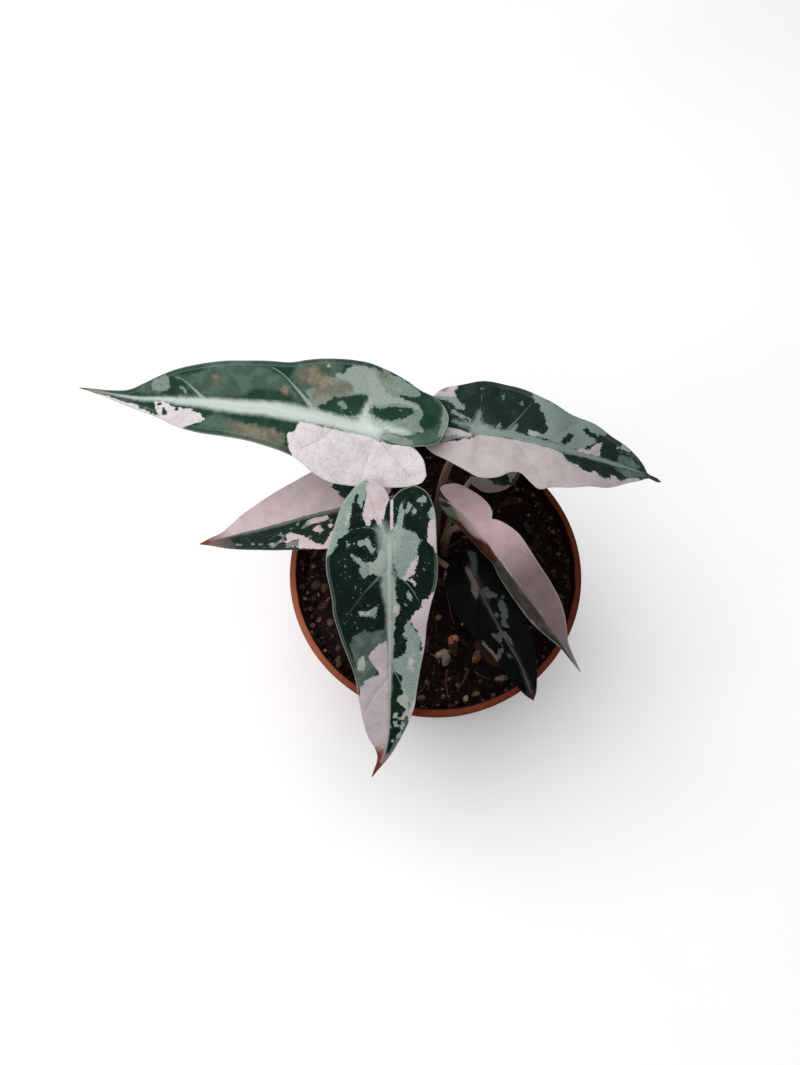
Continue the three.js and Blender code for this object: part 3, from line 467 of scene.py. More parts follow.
# %% Patches of the front leaf
MARKS["front"] = [
    ("pink", [(-9.5, 14.6), (-8, 17), (0, 18), (5, 17), (1, 14.4), (-1, 13.1), (-4, 13.3), (-7, 13.6)]),
    ("mint", [(-12.5, 14.2), (-12, 17), (-8, 17), (-8, 13.6), (-10, 13)]),
    ("mint", [(-16, 12), (-14.5, 12.6), (-13.2, 11), (-13.8, 9), (-15, 9.8)]),
    ("mint", [(-11.3, 8.5), (-10.3, 8.8), (-9.2, 8), (-10.5, 7.6)]),
    ("mint", [(-13.5, 6.3), (-12, 7.2), (-10, 6.2), (-10.5, 5.3), (-12.5, 5.5)]),
    ("mint", [(-15, 4.2), (-9, 4.7), (-5, 4.6), (-3, 5), (0, 3), (-4, 2), (-7, 2.8), (-12, 3.2)]),
    ("pink", [(-14.6, -0.2), (-14, 1), (-8, 1.3), (-4, 1.5), (-3, 0.6), (-8, 0.2)]),
    ("mint", [(-4.4, 5), (-3.3, 8), (-2.4, 10), (-0.5, 11), (2, 10.3), (4, 9.9), (6, 10.4), (9, 9.4),
              (12, 7), (15, 5.4), (13.5, 3), (10, 2), (5, 1.5), (0, 2), (-4, 4)]),
    ("pink", [(5.5, 10.5), (9, 9.8), (12.6, 9.5), (13.2, 8), (14.8, 7.4), (17.6, 9.3), (16, 9.6), (14.2, 8.6),
              (13.6, 7.4), (15, 6), (14, 5), (11.6, 6.4), (9, 7.2), (7, 8.8)]),
    ("pale", [(2, 0.9), (8, 1.4), (12, 1.2), (12, -0.3), (3, -0.3)]),
    ("pale", [(16.6, 1), (18, 2.6), (21, 2.4), (23.4, 2.4), (25.4, 3.7), (28.6, 3.6), (29.4, 2.4), (33, 2.2),
              (37, 1.5), (30, 0.5), (18, 0.5)]),
    ("pink", [(23.6, 1), (25.6, 3), (28, 3), (28.6, 1.6), (26, 0.8)]),
    ("mint", [(12, 2), (17, 2.2), (22, 1.4), (33, 1.6), (42, 1.6), (56, 1.2), (42, 0.4), (14, 0.4)]),
    ("mint", [(18, 6.6), (20, 7.5), (22, 8.3), (23.8, 7.7), (22, 6.8), (19.5, 6.4)]),
    ("mint", [(23.6, 5.9), (25, 6.9), (25.3, 5.8), (24.2, 5.3)]),
    ("mint", [(10.6, 12.4), (11.4, 12.6), (11.4, 11.8), (10.6, 11.8)]),
    ("pink", [(19, 15.2), (22, 13.8), (22.6, 12), (24, 11), (25.5, 12), (27, 9.5), (30, 8), (31, 7.5),
              (33, 8), (36, 10), (38, 11.2), (44, 11.8), (50, 12.6), (44, 15), (34, 16), (24, 17.5),
              (19, 17.5)]),
    ("mint", [(31, 7.4), (33, 6), (36, 5.2), (38.5, 5.3), (40, 6.5), (43, 6.4), (46, 5.8), (47.5, 4),
              (49, 2.5), (51, 1.5), (54, 1.6), (55.5, 3), (56, 5), (59, 5.2), (61, 4.6), (64, 4.8),
              (66, 5.5), (70, 8), (70, 10), (60, 12), (50, 13), (44, 11.2), (38, 11), (35, 9.5),
              (32.5, 8)]),
    ("pale", [(45.5, 9.2), (47, 7.5), (50, 6.8), (53, 7), (54.5, 8.8), (53, 9.6), (49, 9.9)]),
    ("pink", [(47, 9), (47.6, 7.9), (50, 7.2), (52, 7.6), (52, 9), (49, 9.4)]),
    ("pale", [(62, 5.4), (65, 7), (69, 7.4), (73, 7.6), (76.6, 6.2), (76, 4), (74, 5.4), (71, 6.2),
              (69.5, 4.5), (67.5, 3.2), (65.8, 3.6), (65, 5)]),
    ("pink", [(66, 9.8), (66, 12), (76, 10), (77, 7.2), (73, 7.6), (69, 8.6)]),
    ("mint", [(76.5, 4), (78, 3.2), (79, 4.2), (80.2, 3), (79.5, 2), (77.5, 2)]),
    ("mint", [(76.6, 6.8), (79, 6.6), (81, 5.4), (79.6, 4.8), (77.2, 5)]),
    ("mint", [(82, 5), (84, 4.6), (85, 3.4), (82.8, 3.4)]),
    ("pale", [(73.6, 3.4), (75.4, 3.2), (75.8, 2), (74, 2)]),
    ("mint", [(85.6, 3), (87.6, 2.8), (87, 1.8), (85.8, 2)]),
    ("mint", [(79, 0.9), (81, 1.3), (80.6, 0.4)]),
    ("mid", [(84, 5), (92, 3.6), (98, 1.8), (92, 2), (86, 3)]),
    ("mint", [(-22, -7.8), (-17, -8.4), (-14, -8.6), (-10, -9.8), (-13, -11.3), (-15, -11.6), (-14, -12.6),
              (-11, -12.8), (-8, -13.4), (-5, -13.7), (-2, -14), (-1, -16), (0, -17.5), (3, -18.5),
              (6, -20.4), (8, -23), (-10, -22), (-22, -14)]),
    ("pale", [(-10.5, -13.6), (-6, -13.8), (-4.5, -14.8), (-8, -14.8)]),
    ("dark", [(-14.5, -12), (-12, -11), (-8, -9.8), (-5.5, -9), (-3, -8), (-2.6, -13.5), (-6, -13.4),
              (-10, -12.6), (-13, -12.8)]),
    ("pink", [(-13.5, -0.6), (-18, -0.6), (-23, -4), (-22, -8), (-17, -8.5), (-14, -8.5), (-11, -9.2),
              (-8, -9.8), (-6.5, -8.2), (-4.5, -7.8), (-4.5, -6.8), (-6.5, -6.4), (-7, -5.5), (-4.8, -4),
              (-5.5, -2.6), (-8, -1.8), (-11, -1.7)]),
    ("mint", [(-0.8, -7.2), (0, -6.6), (2, -6), (3, -4.5), (4.5, -5.2), (4.4, -6.2), (2.5, -7.2), (1.6, -8.2),
              (2.3, -9.6), (2, -10.7), (0.3, -10.2), (0.5, -8.3)]),
    ("mint", [(7.6, -6), (9, -5.8), (12, -6), (12.5, -7.5), (13.6, -8.6), (12, -9.6), (10.5, -11), (9, -9.8),
              (8, -11.2), (6.5, -12.2), (5.3, -12.8), (5.6, -10.8), (7, -9.4), (8, -7.8)]),
    ("pale", [(4, -0.8), (9, -0.8), (13.6, -0.8), (13.4, -3.3), (12, -5), (11.5, -6.7), (9, -6.5), (8, -6.9),
              (7.5, -4.7), (6.4, -3.7), (4.2, -3.2)]),
    ("mint", [(0.6, -14.2), (1.8, -13.6), (2.3, -14.2), (1.2, -15.4)]),
    ("mint", [(2.3, -14.6), (3.2, -14.4), (2.9, -15.2)]),
    ("mint", [(24.6, -3.8), (27, -4.7), (29, -4.7), (30.9, -5), (29.8, -6.2), (29.5, -8.5), (28.6, -10.7),
              (27.2, -10.8), (27.3, -8.2), (26.2, -5.8)]),
    ("pink", [(27.2, -6.4), (28.8, -6.2), (28.9, -8.6), (28.2, -10), (27.7, -8.4)]),
    ("mint", [(28.8, -11.2), (30.2, -11.4), (30.2, -12), (29, -11.9)]),
    ("mint", [(31.6, -11.8), (32.4, -12), (32.4, -12.8), (31.7, -12.5)]),
    ("mid", [(36, -1.6), (40, -1), (46, -3), (52, -4), (58, -6), (63, -11), (66, -13), (60, -14.4), (52, -13),
              (46, -13.5), (42, -14.3), (38.5, -13.4), (37, -11.5), (35, -9), (36, -7), (35.5, -5)]),
    ("pink", [(41, -1), (50, -0.7), (60, -0.5), (75, -0.3), (88, -0.2), (96, -1), (92, -6), (85, -10),
              (70, -13.6), (64, -11.4), (59, -9.5), (57, -7), (56, -4), (54.5, -4.5), (51, -6.3),
              (47.5, -8), (45.5, -7), (43.5, -5.8), (42, -4)]),
    ("pale", [(47.6, -9.6), (50.5, -8.4), (54, -9.6), (53, -11.6), (49, -12)]),
    ("dark", [(45, -15.4), (48, -13.4), (52, -13.2), (56, -12.6), (58, -14.5), (50, -17)]),
    ("tan", [(88.6, -5.4), (90, -2.6), (94, -1), (106, 1), (106, -3), (92, -6)]),
    ("glow", [(-5, 3.4), (-3, 3), (0, 3), (5, 1.4), (12, 0.8), (14, 2.4), (18, 1.6), (40, 0.9), (56, 0.7),
              (66, 0.5), (56, -0.2), (40, -0.7), (28, -1), (22, -1.7), (17, -2.6), (13, -2), (8, -1.6),
              (0, -2.4), (-5, -3.4), (-6, -2.8), (-3, -0.8), (-3, 1)]),
]
VEINS["front"] = [
    (0.7, [(11, -1), (16, -5.5), (20, -9), (26, -13), (33, -17)]),
    (0.7, [(11, 1), (15, 5.5), (19, 8.5), (25, 11.6)]),
    (0.5, [(-1, -2), (-4, -6), (-3.4, -12), (-2, -17)]), (0.4, [(-4, 3.6), (-10, 4), (-16, 5.4)]),
    (0.5, [(-2, -2), (-9, -5), (-16, -7.6)]), (0.5, [(53, 0.6), (57, 3), (63, 5.4)]),
    (0, [(32, 0.6), (37, 5), (44, 9)]), (0, [(33, -0.8), (40, -6), (50, -11)]),
    (0, [(58, -0.6), (64, -5), (72, -9)]), (0, [(0, 2), (0, 8), (-1, 14)]),
]

# %% Patches of the four smaller leaves
MARKS["left_low"] = [
    ("pink", [(-12, -1), (10, -0.4), (40, -0.3), (60, 0), (74, 0), (66, -4), (50, -12), (20, -20), (0, -20),
              (-14, -12)]),
    # Painted shadow: this dark patch at the base of the lower half is where the front leaf's shadow falls.
    ("dark", [(3, -9), (5, -5), (8, -3.4), (10, -5), (9.6, -6.6), (11.4, -7.8), (12.4, -9), (11, -10),
              (4, -12)]),
    ("pink", [(13.6, 11), (15, 16.6), (19, 16), (25, 13.4), (30, 11.6), (33, 9), (36, 8), (33, 7),
              (33, 5.3), (30, 5.5), (27, 7), (24, 9.2), (21, 12.5), (18.5, 13.3), (17, 11.5), (15.5, 9.5),
              (14, 8)]),
    ("mint", [(27, 9), (28.5, 11.6), (33, 11), (33, 9.4), (30, 8.8)]),
    ("pink", [(17.5, 7.5), (19, 8.2), (21.5, 6.8), (21.5, 5.6), (19, 5.2)]),
    ("pink", [(15, 3), (16.5, 4), (20, 4), (22, 3.8), (23.5, 2.6), (24.2, 2), (20, 1.6), (16, 1.7)]),
    ("pink", [(14.2, 6.6), (15.4, 7.4), (16, 6.2), (15, 5.4)]),
    ("mint", [(14, 4.6), (15.2, 5), (15.4, 4.2), (14.4, 3.8)]),
    ("pink", [(12, 8), (12.6, 12), (13.8, 9.6), (13.4, 6)]),
    ("mint", [(22.4, 9.4), (23.4, 9.9), (23.9, 9), (23, 8.7)]),
    ("mint", [(29.6, 4), (30.4, 4.5), (30.8, 3.5)]),
    ("mint", [(24, 4), (25, 5.2), (26.2, 4.8), (25.2, 3.6)]),
    ("mint", [(27, 2.6), (28, 3.2), (28.6, 2.2), (27.6, 1.6)]),
    ("mint", [(34.4, 4.6), (35.2, 5), (36, 4.4), (35, 3.8)]),
    ("pale", [(36.5, 8.6), (39, 9.1), (41, 7.8), (39, 7.3)]),
    ("mint", [(32.4, 8), (35, 8.6), (38, 9.6), (42, 8.8), (39, 8.4), (36, 7.6), (33.4, 6.8)]),
    ("mint", [(33.6, 6.6), (36.4, 5.2), (37.2, 4.2), (35, 4.8), (32.8, 6)]),
    ("pale", [(46, 6.6), (47.6, 6.2), (48, 5.6), (46.4, 5.9)]),
    ("mint", [(51, 5.8), (53, 5.4), (54.4, 4.6), (52, 4.8)]),
    ("mint", [(43, 7.6), (44.4, 7), (44, 6.4), (42.8, 7)]),
    ("pale", [(22, 2.6), (23.2, 4.2), (24.6, 3), (23.6, 1.8)]),
    ("mid", [(54, 6.4), (60, 6), (74, 0.4), (58, 0.4), (56, 3)]),
    ("mid", [(14, 1.2), (40, 1.4), (58, 1), (58, 0), (14, 0)]),
    ("tan", [(60, 5), (64, 0.6), (62, -3), (74, -1), (74, 1.6), (66, 4)]),
    ("tan", [(30, -13), (36, -10), (44, -8.8), (48, -8.6), (42, -11.6), (34, -14)]),
    ("glow", [(-4, 2), (4, 1.4), (20, 0.7), (50, 0.3), (60, 0), (50, -0.3), (20, -0.5), (4, -1), (-4, -2)]),
]
VEINS["left_low"] = [
    (0, [(12, 0.6), (20, 7), (30, 11.6)]), (0, [(30, 0.5), (38, 5), (47, 8)]),
    (0, [(12, -0.6), (20, -7), (30, -12.4)]), (0, [(30, -0.5), (38, -5), (48, -8)]),
    (0, [(0, 1), (2, 8), (4, 15)]), (0, [(0, -1), (1, -9), (4, -16)]),
]
MARKS["folded"] = [
    ("pink", [(-19.8, 1), (-11.1, -0.6), (-5.7, -0.4), (0, -0.6), (8, -0.4), (20, 0.1), (40, 0.2), (60, 0),
              (78, -1), (78, 2), (60, 6), (45, 12), (14.9, 13.9), (-3.7, 11.4), (-18.5, 10)]),
    ("mint", [(-16.3, -0.9), (-9.2, -1), (-4, -1.2), (-6, -3.6), (-4, -6.6), (-10.3, -7.6), (-17.7, -4.6)]),
    ("pale", [(-6, -0.8), (7, -0.8), (8, -3), (4, -6), (-4, -6.8), (-7, -4)]),
    ("dark", [(-16.2, -2.5), (-12.8, -1.3), (-9.7, -1.3), (-11.3, -3.1), (-14.5, -4.5)]),
    ("mid", [(18, -1.2), (20, 0), (40, 0.1), (58, -0.3), (54, -3), (50, -7), (40, -9), (24, -9.1),
             (19, -5.1)]),
    ("pale", [(19, -5.7), (25, -7.2), (35, -7.4), (45, -7.2), (52, -5.6), (57, -3), (62, -1), (60, -4),
              (50, -10), (22, -10.1)]),
    ("tan", [(-8.1, -6.8), (-3.3, -6.1), (2.9, -5.8), (6.6, -4.2), (7.4, -1.6), (9.4, 0.4), (12, 1),
             (15.4, 0.6), (17.6, -1.4), (18.8, -5), (19, -9.2), (-8.8, -9.8)]),
    ("glow", [(-9.8, 0.8), (-3.8, 1.1), (0.1, 1.6), (6, 1.2), (11, 1.8), (17, 0.6), (26, 0), (18, -0.4),
              (11, -0.2), (7, -2), (2, -4.6), (-5, -4.4), (-7, -2)]),
]
VEINS["folded"] = [
    (0.9, [(0.1, 1), (3, 3), (4.9, 6.4)]), (0.2, [(12, 0.5), (17.9, 4.9), (23.9, 10)]),
    (0, [(30, 0.5), (37, 4.6), (44, 8)]), (0.4, [(-0.9, 1.1), (-5.5, 3.6), (-10.8, 6.2)]),
    (0, [(20, -0.6), (26, -4), (32, -7)]), (0, [(36, -0.5), (42, -4), (48, -6)]),
]
MARKS["low_dark"] = [
    ("mid", [(-12.8, 3), (-12.4, 5.6), (-9, 6.2), (-5, 4.7), (-2, 2.7), (3, 0.9), (4, -1), (-4, 0.2),
             (-6, 1.4), (-9, 2.6)]),
    ("mint", [(-12, 3.4), (-11.6, 5), (-9, 5.4), (-5, 4), (-2, 2), (1, 0.6), (-4, 0.8), (-7, 2.4)]),
    ("pink", [(-7, -0.2), (-4, 0.6), (3, 0.3), (5.4, -1), (7.4, -3), (4, -3), (1, -1.7), (-4, -1.6)]),
    ("mint", [(4.4, 0.6), (5, 3), (7, 4), (9.5, 5.4), (10.4, 4), (9.6, 2), (8, 0.5)]),
    ("mint", [(11, 5.4), (13, 6.6), (16, 6.2), (19, 5.2), (19.6, 3.6), (23, 3.1), (21, 1.5), (19, 1.9),
              (16, 3.4), (12.5, 3.7)]),
    ("mint", [(15, 2), (17, 2.2), (17.6, 1), (15.6, 0.6)]),
    ("mint", [(10.4, 7.2), (11.4, 7.4), (11.6, 6.4), (10.6, 6.2)]),
    ("pale", [(22.4, 0), (23.6, 1.6), (26, 2), (28, 1.6), (30.4, 1.4), (29, 0.8), (26.6, 0.6), (25, -0.8),
              (26.4, -2.4), (28.6, -2.6), (26, -3.4), (21.6, -4.4), (22.6, -2.4)]),
    ("pale", [(28.4, -2.8), (29.6, -4), (30.6, -5.6), (31.8, -7), (29, -7.4), (28, -5.4)]),
    ("mid", [(30, -2), (33, -1.4), (34.6, -0.8), (33.8, -3), (31, -3.4)]),
    ("mint", [(31.4, -2.2), (33, -1.8), (32.8, -2.9), (31.6, -3.2)]),
    ("pink", [(30, -6.6), (32, -7.6), (33.4, -8.6), (28, -9.2), (23, -9.8), (22, -8.6), (26, -7.4)]),
    ("pink", [(-9.6, -7.6), (-8.6, -7.4), (-6, -9.6), (-5, -11), (-8, -10)]),
    ("glow", [(-6, 0.4), (2, 0.5), (20, 0.3), (38, 0.5), (46, 0.7), (51, 0.4), (51, -0.6), (42, -0.7),
              (34, -0.3), (20, -0.3), (2, -0.8)]),
]
VEINS["low_dark"] = [
    (0, [(8, 0.4), (14, 5), (20, 9)]), (0, [(22, 0.4), (28, 4), (34, 7)]),
    (0, [(8, -0.6), (14, -5), (20, -9)]), (0, [(22, -0.5), (28, -4), (34, -6.6)]),
    (0, [(0, 0.6), (0.6, 6), (2, 10)]),
]
MARKS["rear_small"] = [
    ("mid", [(-4, -4), (0, -9), (2, -16), (-4, -16), (-9, -10)]),
    ("pink", [(-6, -2), (-1.6, -4), (-0.8, -7), (-0.6, -9.6), (1.4, -11.6), (3.6, -13.6), (0, -15),
              (-6, -14), (-10, -8)]),
    ("pale", [(6, -9), (9, -8), (12, -8.6), (9, -12), (5, -12.4)]),
    ("mint", [(2, 2), (8, 4), (12, 8), (6, 10), (0, 7)]),
    ("mint", [(16, -2), (22, -4), (26, -6), (18, -7)]),
    ("mid", [(28, 5), (36, 3), (30, -1), (24, 1)]),
    ("glow", [(-3, 0.6), (4, 0.6), (40, 0.2), (40, -0.2), (4, -0.6), (-3, -0.6)]),
]
VEINS["rear_small"] = [
    (0.3, [(0, -0.6), (0.6, -6), (2, -13)]), (0, [(8, -0.5), (14, -5), (20, -8)]),
    (0, [(0, 0.6), (1, 6), (3, 10)]), (0, [(10, 0.5), (16, 5), (22, 7)]),
]
print(sum(map(len, MARKS.values())), "patches and", sum(map(len, VEINS.values())), "side veins")

# %% [markdown]
# ## Distances on the flat leaf
# How deep a point lies inside a polygon is its distance from the nearest side, counted positive inside.
# Painting patch on patch is then simple: a new patch takes the larger depth for its own colour and pushes
# the other colours out.

# %% Depth inside patches
def distance_to(path, spots, closed=False):
    path = np.asarray(path, float)
    ends = np.roll(path, -1, axis=0) if closed else path[1:]
    best = np.full(len(spots), 1e9)
    for start, end in zip(path, ends):
        along = end - start
        share = np.clip((spots - start) @ along / (along @ along), 0, 1)
        best = np.minimum(best, np.linalg.norm(spots - start - share[:, None] * along, axis=1))
    return best


def depth_in(polygon, spots):
    polygon = np.asarray(polygon, float)
    inside = np.zeros(len(spots), bool)
    u, v = spots.T
    for (u0, v0), (u1, v1) in zip(polygon, np.roll(polygon, -1, axis=0)):
        if v0 != v1:
            inside ^= ((v0 > v) != (v1 > v)) & (u < (u1 - u0) * (v - v0) / (v1 - v0) + u0)
    return np.where(inside, 1, -1) * distance_to(polygon, spots, closed=True)


# The colours that a patch adds to, and those that it pushes out.
COVERS = {
    "dark": ((), ("mid", "mint", "pale", "pink")),
    "mid": (("mid",), ("mint", "pale", "pink")),
    "mint": (("mint",), ("pale", "pink")),
    "pale": (("mint", "pale"), ("pink",)),
    "pink": (("pink",), ("pale",)),
    "tan": (("tan",), ()),
    "spot": (("spot",), ()),
    "glow": (("glow",), ()),
}
COLOURS = ("mid", "mint", "pale", "pink", "tan", "spot", "glow")


def painted(name, spots):
    depths = {colour: np.full(len(spots), -9.0) for colour in COLOURS}
    for colour, polygon in MARKS[name]:
        depth = depth_in(polygon, spots)
        added, pushed = COVERS[colour]
        for other in added:
            depths[other] = np.maximum(depths[other], depth)
        for other in pushed:
            depths[other] = np.minimum(depths[other], -depth)
    # The light of the ribs is softest round the point where the stalk joins.
    junction = np.exp(-(np.hypot(spots[:, 0] + 1, spots[:, 1]) / 9) ** 2)
    depths["glow"] /= 0.7 + 1.3 * junction
    return depths


# %% [markdown]
# ## The blade
# A leaf of this plant is thick and stiff, with a groove over the midrib, side veins that are slightly
# sunk above and raised below, and a soft swelling between them. A cloth tool would make it limp, so the
# blade is computed: a grid on the flat leaf whose rows slant like the side veins, bent onto the midrib's
# curve, given two faces and a rounded margin. The grid is fine enough for the smallest colour patches.

# %% Bend a flat leaf
# Both halves sag a little, and the wave grows outwards to its full height at WAVE_WIDTH. The right
# margin's wave is WAVE_SHIFT of a wave ahead of the left one's.
DROOP = 0.004
WAVE_WIDTH = 18
WAVE_SHIFT = 0.37
# The shares of the way from the stalk to the tip at which a leaf's four fold angles hold.
FOLD_PLACES = [-0.2, 0, 0.5, 1]
SPINE_STEPS = 160


class Spine:
    """The midrib in space, read by the distance from the stalk."""

    def __init__(self, leaf):
        corners = np.array(leaf["spine"], float) + [0, 0, POT_HEIGHT]
        self.line = Line(smooth_line(corners, SPINE_STEPS, 0))
        self.start = self.line.marks[SPINE_STEPS]
        self.length = self.line.length - self.start

    def frame(self, along, reach=2.0):
        distance = np.asarray(along, float) + self.start
        inside = np.clip(distance, reach, self.line.length - reach)
        tangent = self.line.at(inside + reach) - self.line.at(inside - reach)
        tangent /= np.linalg.norm(tangent, axis=-1, keepdims=True)
        middle = np.clip(distance, 0, self.line.length)
        point = self.line.at(middle) + tangent * (distance - middle)[..., None]
        left = np.cross([0, 0, 1], tangent)
        left /= np.linalg.norm(left, axis=-1, keepdims=True)
        return point, left, np.cross(tangent, left)


def fold_at(angles, share):
    """The fold in radians: the angles at the four places, with the changes between them eased."""
    near = [np.interp(share + shift, FOLD_PLACES, angles) for shift in np.linspace(-0.09, 0.09, 7)]
    return np.radians(np.mean(near, axis=0))


def bend(leaf, spine, flat):
    along, across = flat.T
    point, left, up = spine.frame(along)
    share = along / spine.length
    lefts, rights = (fold_at(angles, share) for angles in leaf["fold"])
    # 0 on the right half, 1 on the left, and rounded over the midrib.
    towards = 0.5 + 0.5 * np.tanh(across / 0.7)
    fold = rights + (lefts - rights) * towards
    height, waves, start = leaf["wave"]
    turn = waves * share + start + WAVE_SHIFT * (1 - towards)
    wave = height * (across / WAVE_WIDTH) ** 2 * np.sin(2 * np.pi * turn)
    # The distance from the midrib, without a sharp crease on it.
    away = np.sqrt(across**2 + 0.16) - 0.4
    rise = away * np.sin(fold) + wave - DROOP * across**2
    return point + left * (across * np.cos(fold))[:, None] + up * rise[:, None]


# %% The flat grid of a leaf
# Where a lobe's inner edge bends, as shares of the way from the sinus to the lobe's end and outwards.
USUAL_HOLLOW = (0.65, 0.42)


def flat_grid(leaf, length, lobe_rows, rib_rows, columns):
    """Points and faces of the flat leaf, both halves joined on the midrib."""
    # The columns lie closer together beside the midrib and along the margin.
    share = np.linspace(0, 1, columns + 1)
    share = 0.75 * share + 0.25 * (0.5 - 0.5 * np.cos(np.pi * share))
    flat = [np.stack([np.linspace(leaf["sinus"], length, rib_rows + 1), np.zeros(rib_rows + 1)], -1)]
    count = rib_rows + 1
    faces = []
    for sign, side in ((1, "left"), (-1, "right")):
        apex = np.array(leaf[side][0], float)
        along, across = leaf.get("hollow", {}).get(side, USUAL_HOLLOW)
        hollow = (leaf["sinus"] + along * (apex[0] - leaf["sinus"]), across * apex[1])
        inner = Line(smooth_line([apex, hollow, (leaf["sinus"], 0.01)], 40, 0.5))
        outer = Line(smooth_line([*leaf[side], (length, 0)], 24, 0.5))
        # A row starts on the lobe's inner edge or on the midrib, and ends as far along the outer edge.
        lobe = inner.at(inner.length * np.arange(1, lobe_rows) / lobe_rows)
        starts = np.vstack([lobe, flat[0][:-1]])
        travelled = np.r_[inner.length * np.arange(1, lobe_rows) / lobe_rows,
                          inner.length + flat[0][:-1, 0] - leaf["sinus"]]
        ends = outer.at(outer.length * travelled / (inner.length + length - leaf["sinus"]))
        rows = starts[:, None] + (ends - starts)[:, None] * share[None, :, None]
        rows[:, :, 1] *= sign
        index = np.zeros(rows.shape[:2], int)
        in_lobe = np.arange((lobe_rows - 1) * (columns + 1)).reshape(lobe_rows - 1, -1)
        index[:lobe_rows - 1] = count + in_lobe
        flat.append(rows[:lobe_rows - 1].reshape(-1, 2))
        count += len(flat[-1])
        index[lobe_rows - 1:, 0] = np.arange(rib_rows)
        index[lobe_rows - 1:, 1:] = count + np.arange(rib_rows * columns).reshape(rib_rows, columns)
        flat.append(rows[lobe_rows - 1:, 1:].reshape(-1, 2))
        count += len(flat[-1])
        # The lobe's end and the leaf's tip are single points that close the grid with triangles.
        flat.append(np.array([[apex[0], sign * apex[1]]]))
        first, last = count, rib_rows
        count += 1
        corners = [index[:-1, :-1], index[1:, :-1], index[1:, 1:], index[:-1, 1:]]
        quads = np.stack(corners, -1).reshape(-1, 4)
        ends_of_leaf = [[first, b, a] for a, b in zip(index[0, 1:], index[0, :-1])]
        ends_of_leaf += [[a, last, b] for a, b in zip(index[-1, :-1], index[-1, 1:])]
        half = quads.tolist() + ends_of_leaf
        faces += half if sign > 0 else [face[::-1] for face in half]
    return np.vstack(flat), faces


def margin_of(faces):
    """The open edges in order of travel, each as (from, to)."""
    once = {}
    for face in faces:
        for start, end in zip(face, face[1:] + face[:1]):
            if (end, start) in once:
                del once[(end, start)]
            else:
                once[(start, end)] = True
    return np.array(list(once))


# %% [markdown]
# The side veins branch off the midrib at about 45 degrees and bend towards the tip. Behind the stalk they
# fan out into the basal lobes. One number, the rank, counts them: it grows along the midrib, runs on
# round the stalk in the lobes, and is whole on each fine vein. The finish needs it for the finest veins.

# %% Where the veins run
# A vein's pale line narrows to THIN_END. The fine veins leave the midrib RANK_SPACING apart, going forward
# RANK_SLANT for each millimetre outwards, and fan out by RANK_OPENING radians behind the stalk.
THIN_END = 0.16
RANK_SLANT = 0.9
RANK_SPACING = 4.5
RANK_OPENING = 0.13


def vein_lines(name, flat):
    """Distance from the nearest side vein, in millimetres and, for those that show, in line widths."""
    from_vein, from_line = np.full(len(flat), 9.0), np.full(len(flat), 9.0)
    for width, path in VEINS[name]:
        line = smooth_line(path, 6, 0.5)
        away = distance_to(line, flat)
        from_vein = np.minimum(from_vein, away)
        if width:
            start, end = np.array(path[0]), np.array(path[-1])
            travelled = np.clip((flat - start) @ (end - start) / ((end - start) @ (end - start)), 0, 1)
            here = THIN_END + (width - THIN_END) * np.exp(-travelled * 4)
            from_line = np.minimum(from_line, away / here + 1.5 * np.clip(travelled - 0.8, 0, 1) / 0.2)
    return from_vein, from_line


def vein_rank(flat):
    """Rank of the fine veins, and the gap between two of them in millimetres."""
    along, away = flat[:, 0] - 0.02 * flat[:, 1] ** 2, np.abs(flat[:, 1])
    first = math.atan(1 / RANK_SLANT)
    ahead = (along - RANK_SLANT * away) / RANK_SPACING
    behind = -(np.arctan2(away, along) - first) / RANK_OPENING
    on_blade = ahead > 0
    rank = np.where(on_blade, ahead, behind)
    gap = np.where(on_blade, RANK_SPACING * math.sin(first), RANK_OPENING * np.hypot(along, away))
    return rank, gap


def swell(flat, seed):
    """Slow unevenness of a leaf, within about a third of a millimetre."""
    random = np.random.default_rng(seed)
    total = np.zeros(len(flat))
    for _ in range(7):
        direction = random.uniform(0, 2 * math.pi)
        wave = 2 * math.pi / random.uniform(9, 26)
        start = random.uniform(0, 6.28)
        total += np.sin(wave * (flat @ [math.cos(direction), math.sin(direction)]) + start)
    return 0.1 * total


# %% Directions and distances on a leaf
AT_A_TIME = 4000


def margin_distance(flat, rim):
    """Distance of each point from the open edge, in batches that fit the memory."""
    edge = flat[rim].reshape(-1, 4)
    best = np.full(len(flat), 1e9)
    for batch in range(0, len(flat), AT_A_TIME):
        spots = flat[batch:batch + AT_A_TIME, None]
        start, along = edge[None, :, :2], edge[None, :, 2:] - edge[None, :, :2]
        share = np.clip(((spots - start) * along).sum(-1) / ((along**2).sum(-1) + 1e-12), 0, 1)
        away = np.linalg.norm(spots - start - share[..., None] * along, axis=-1)
        best[batch:batch + AT_A_TIME] = away.min(1)
    return best


def upward(middle, faces):
    """The direction that the top of the bent leaf faces at each point."""
    normals = np.zeros_like(middle)
    corners = np.array([face[:3] for face in faces])
    first, second, third = (middle[corners[:, k]] for k in range(3))
    facing = np.cross(second - first, third - first)
    for k in range(3):
        np.add.at(normals, corners[:, k], facing)
    return normals / np.linalg.norm(normals, axis=1, keepdims=True)


def outward(middle, normals, rim):
    """The direction away from the leaf at each point of its margin."""
    tangent = np.zeros_like(middle)
    np.add.at(tangent, rim[:, 0], middle[rim[:, 1]] - middle[rim[:, 0]])
    np.add.at(tangent, rim[:, 1], middle[rim[:, 1]] - middle[rim[:, 0]])
    away = np.cross(tangent[rim[:, 0]], normals[rim[:, 0]])
    return away / (np.linalg.norm(away, axis=1, keepdims=True) + 1e-9)


# %% [markdown]
# The bent sheet gets its body in millimetres: a thickness that runs out towards the margin, a groove and a
# ridge along the midrib, and the side veins' relief on both faces. Everything that the finish asks for is
# stored at the same points, three numbers to a name.

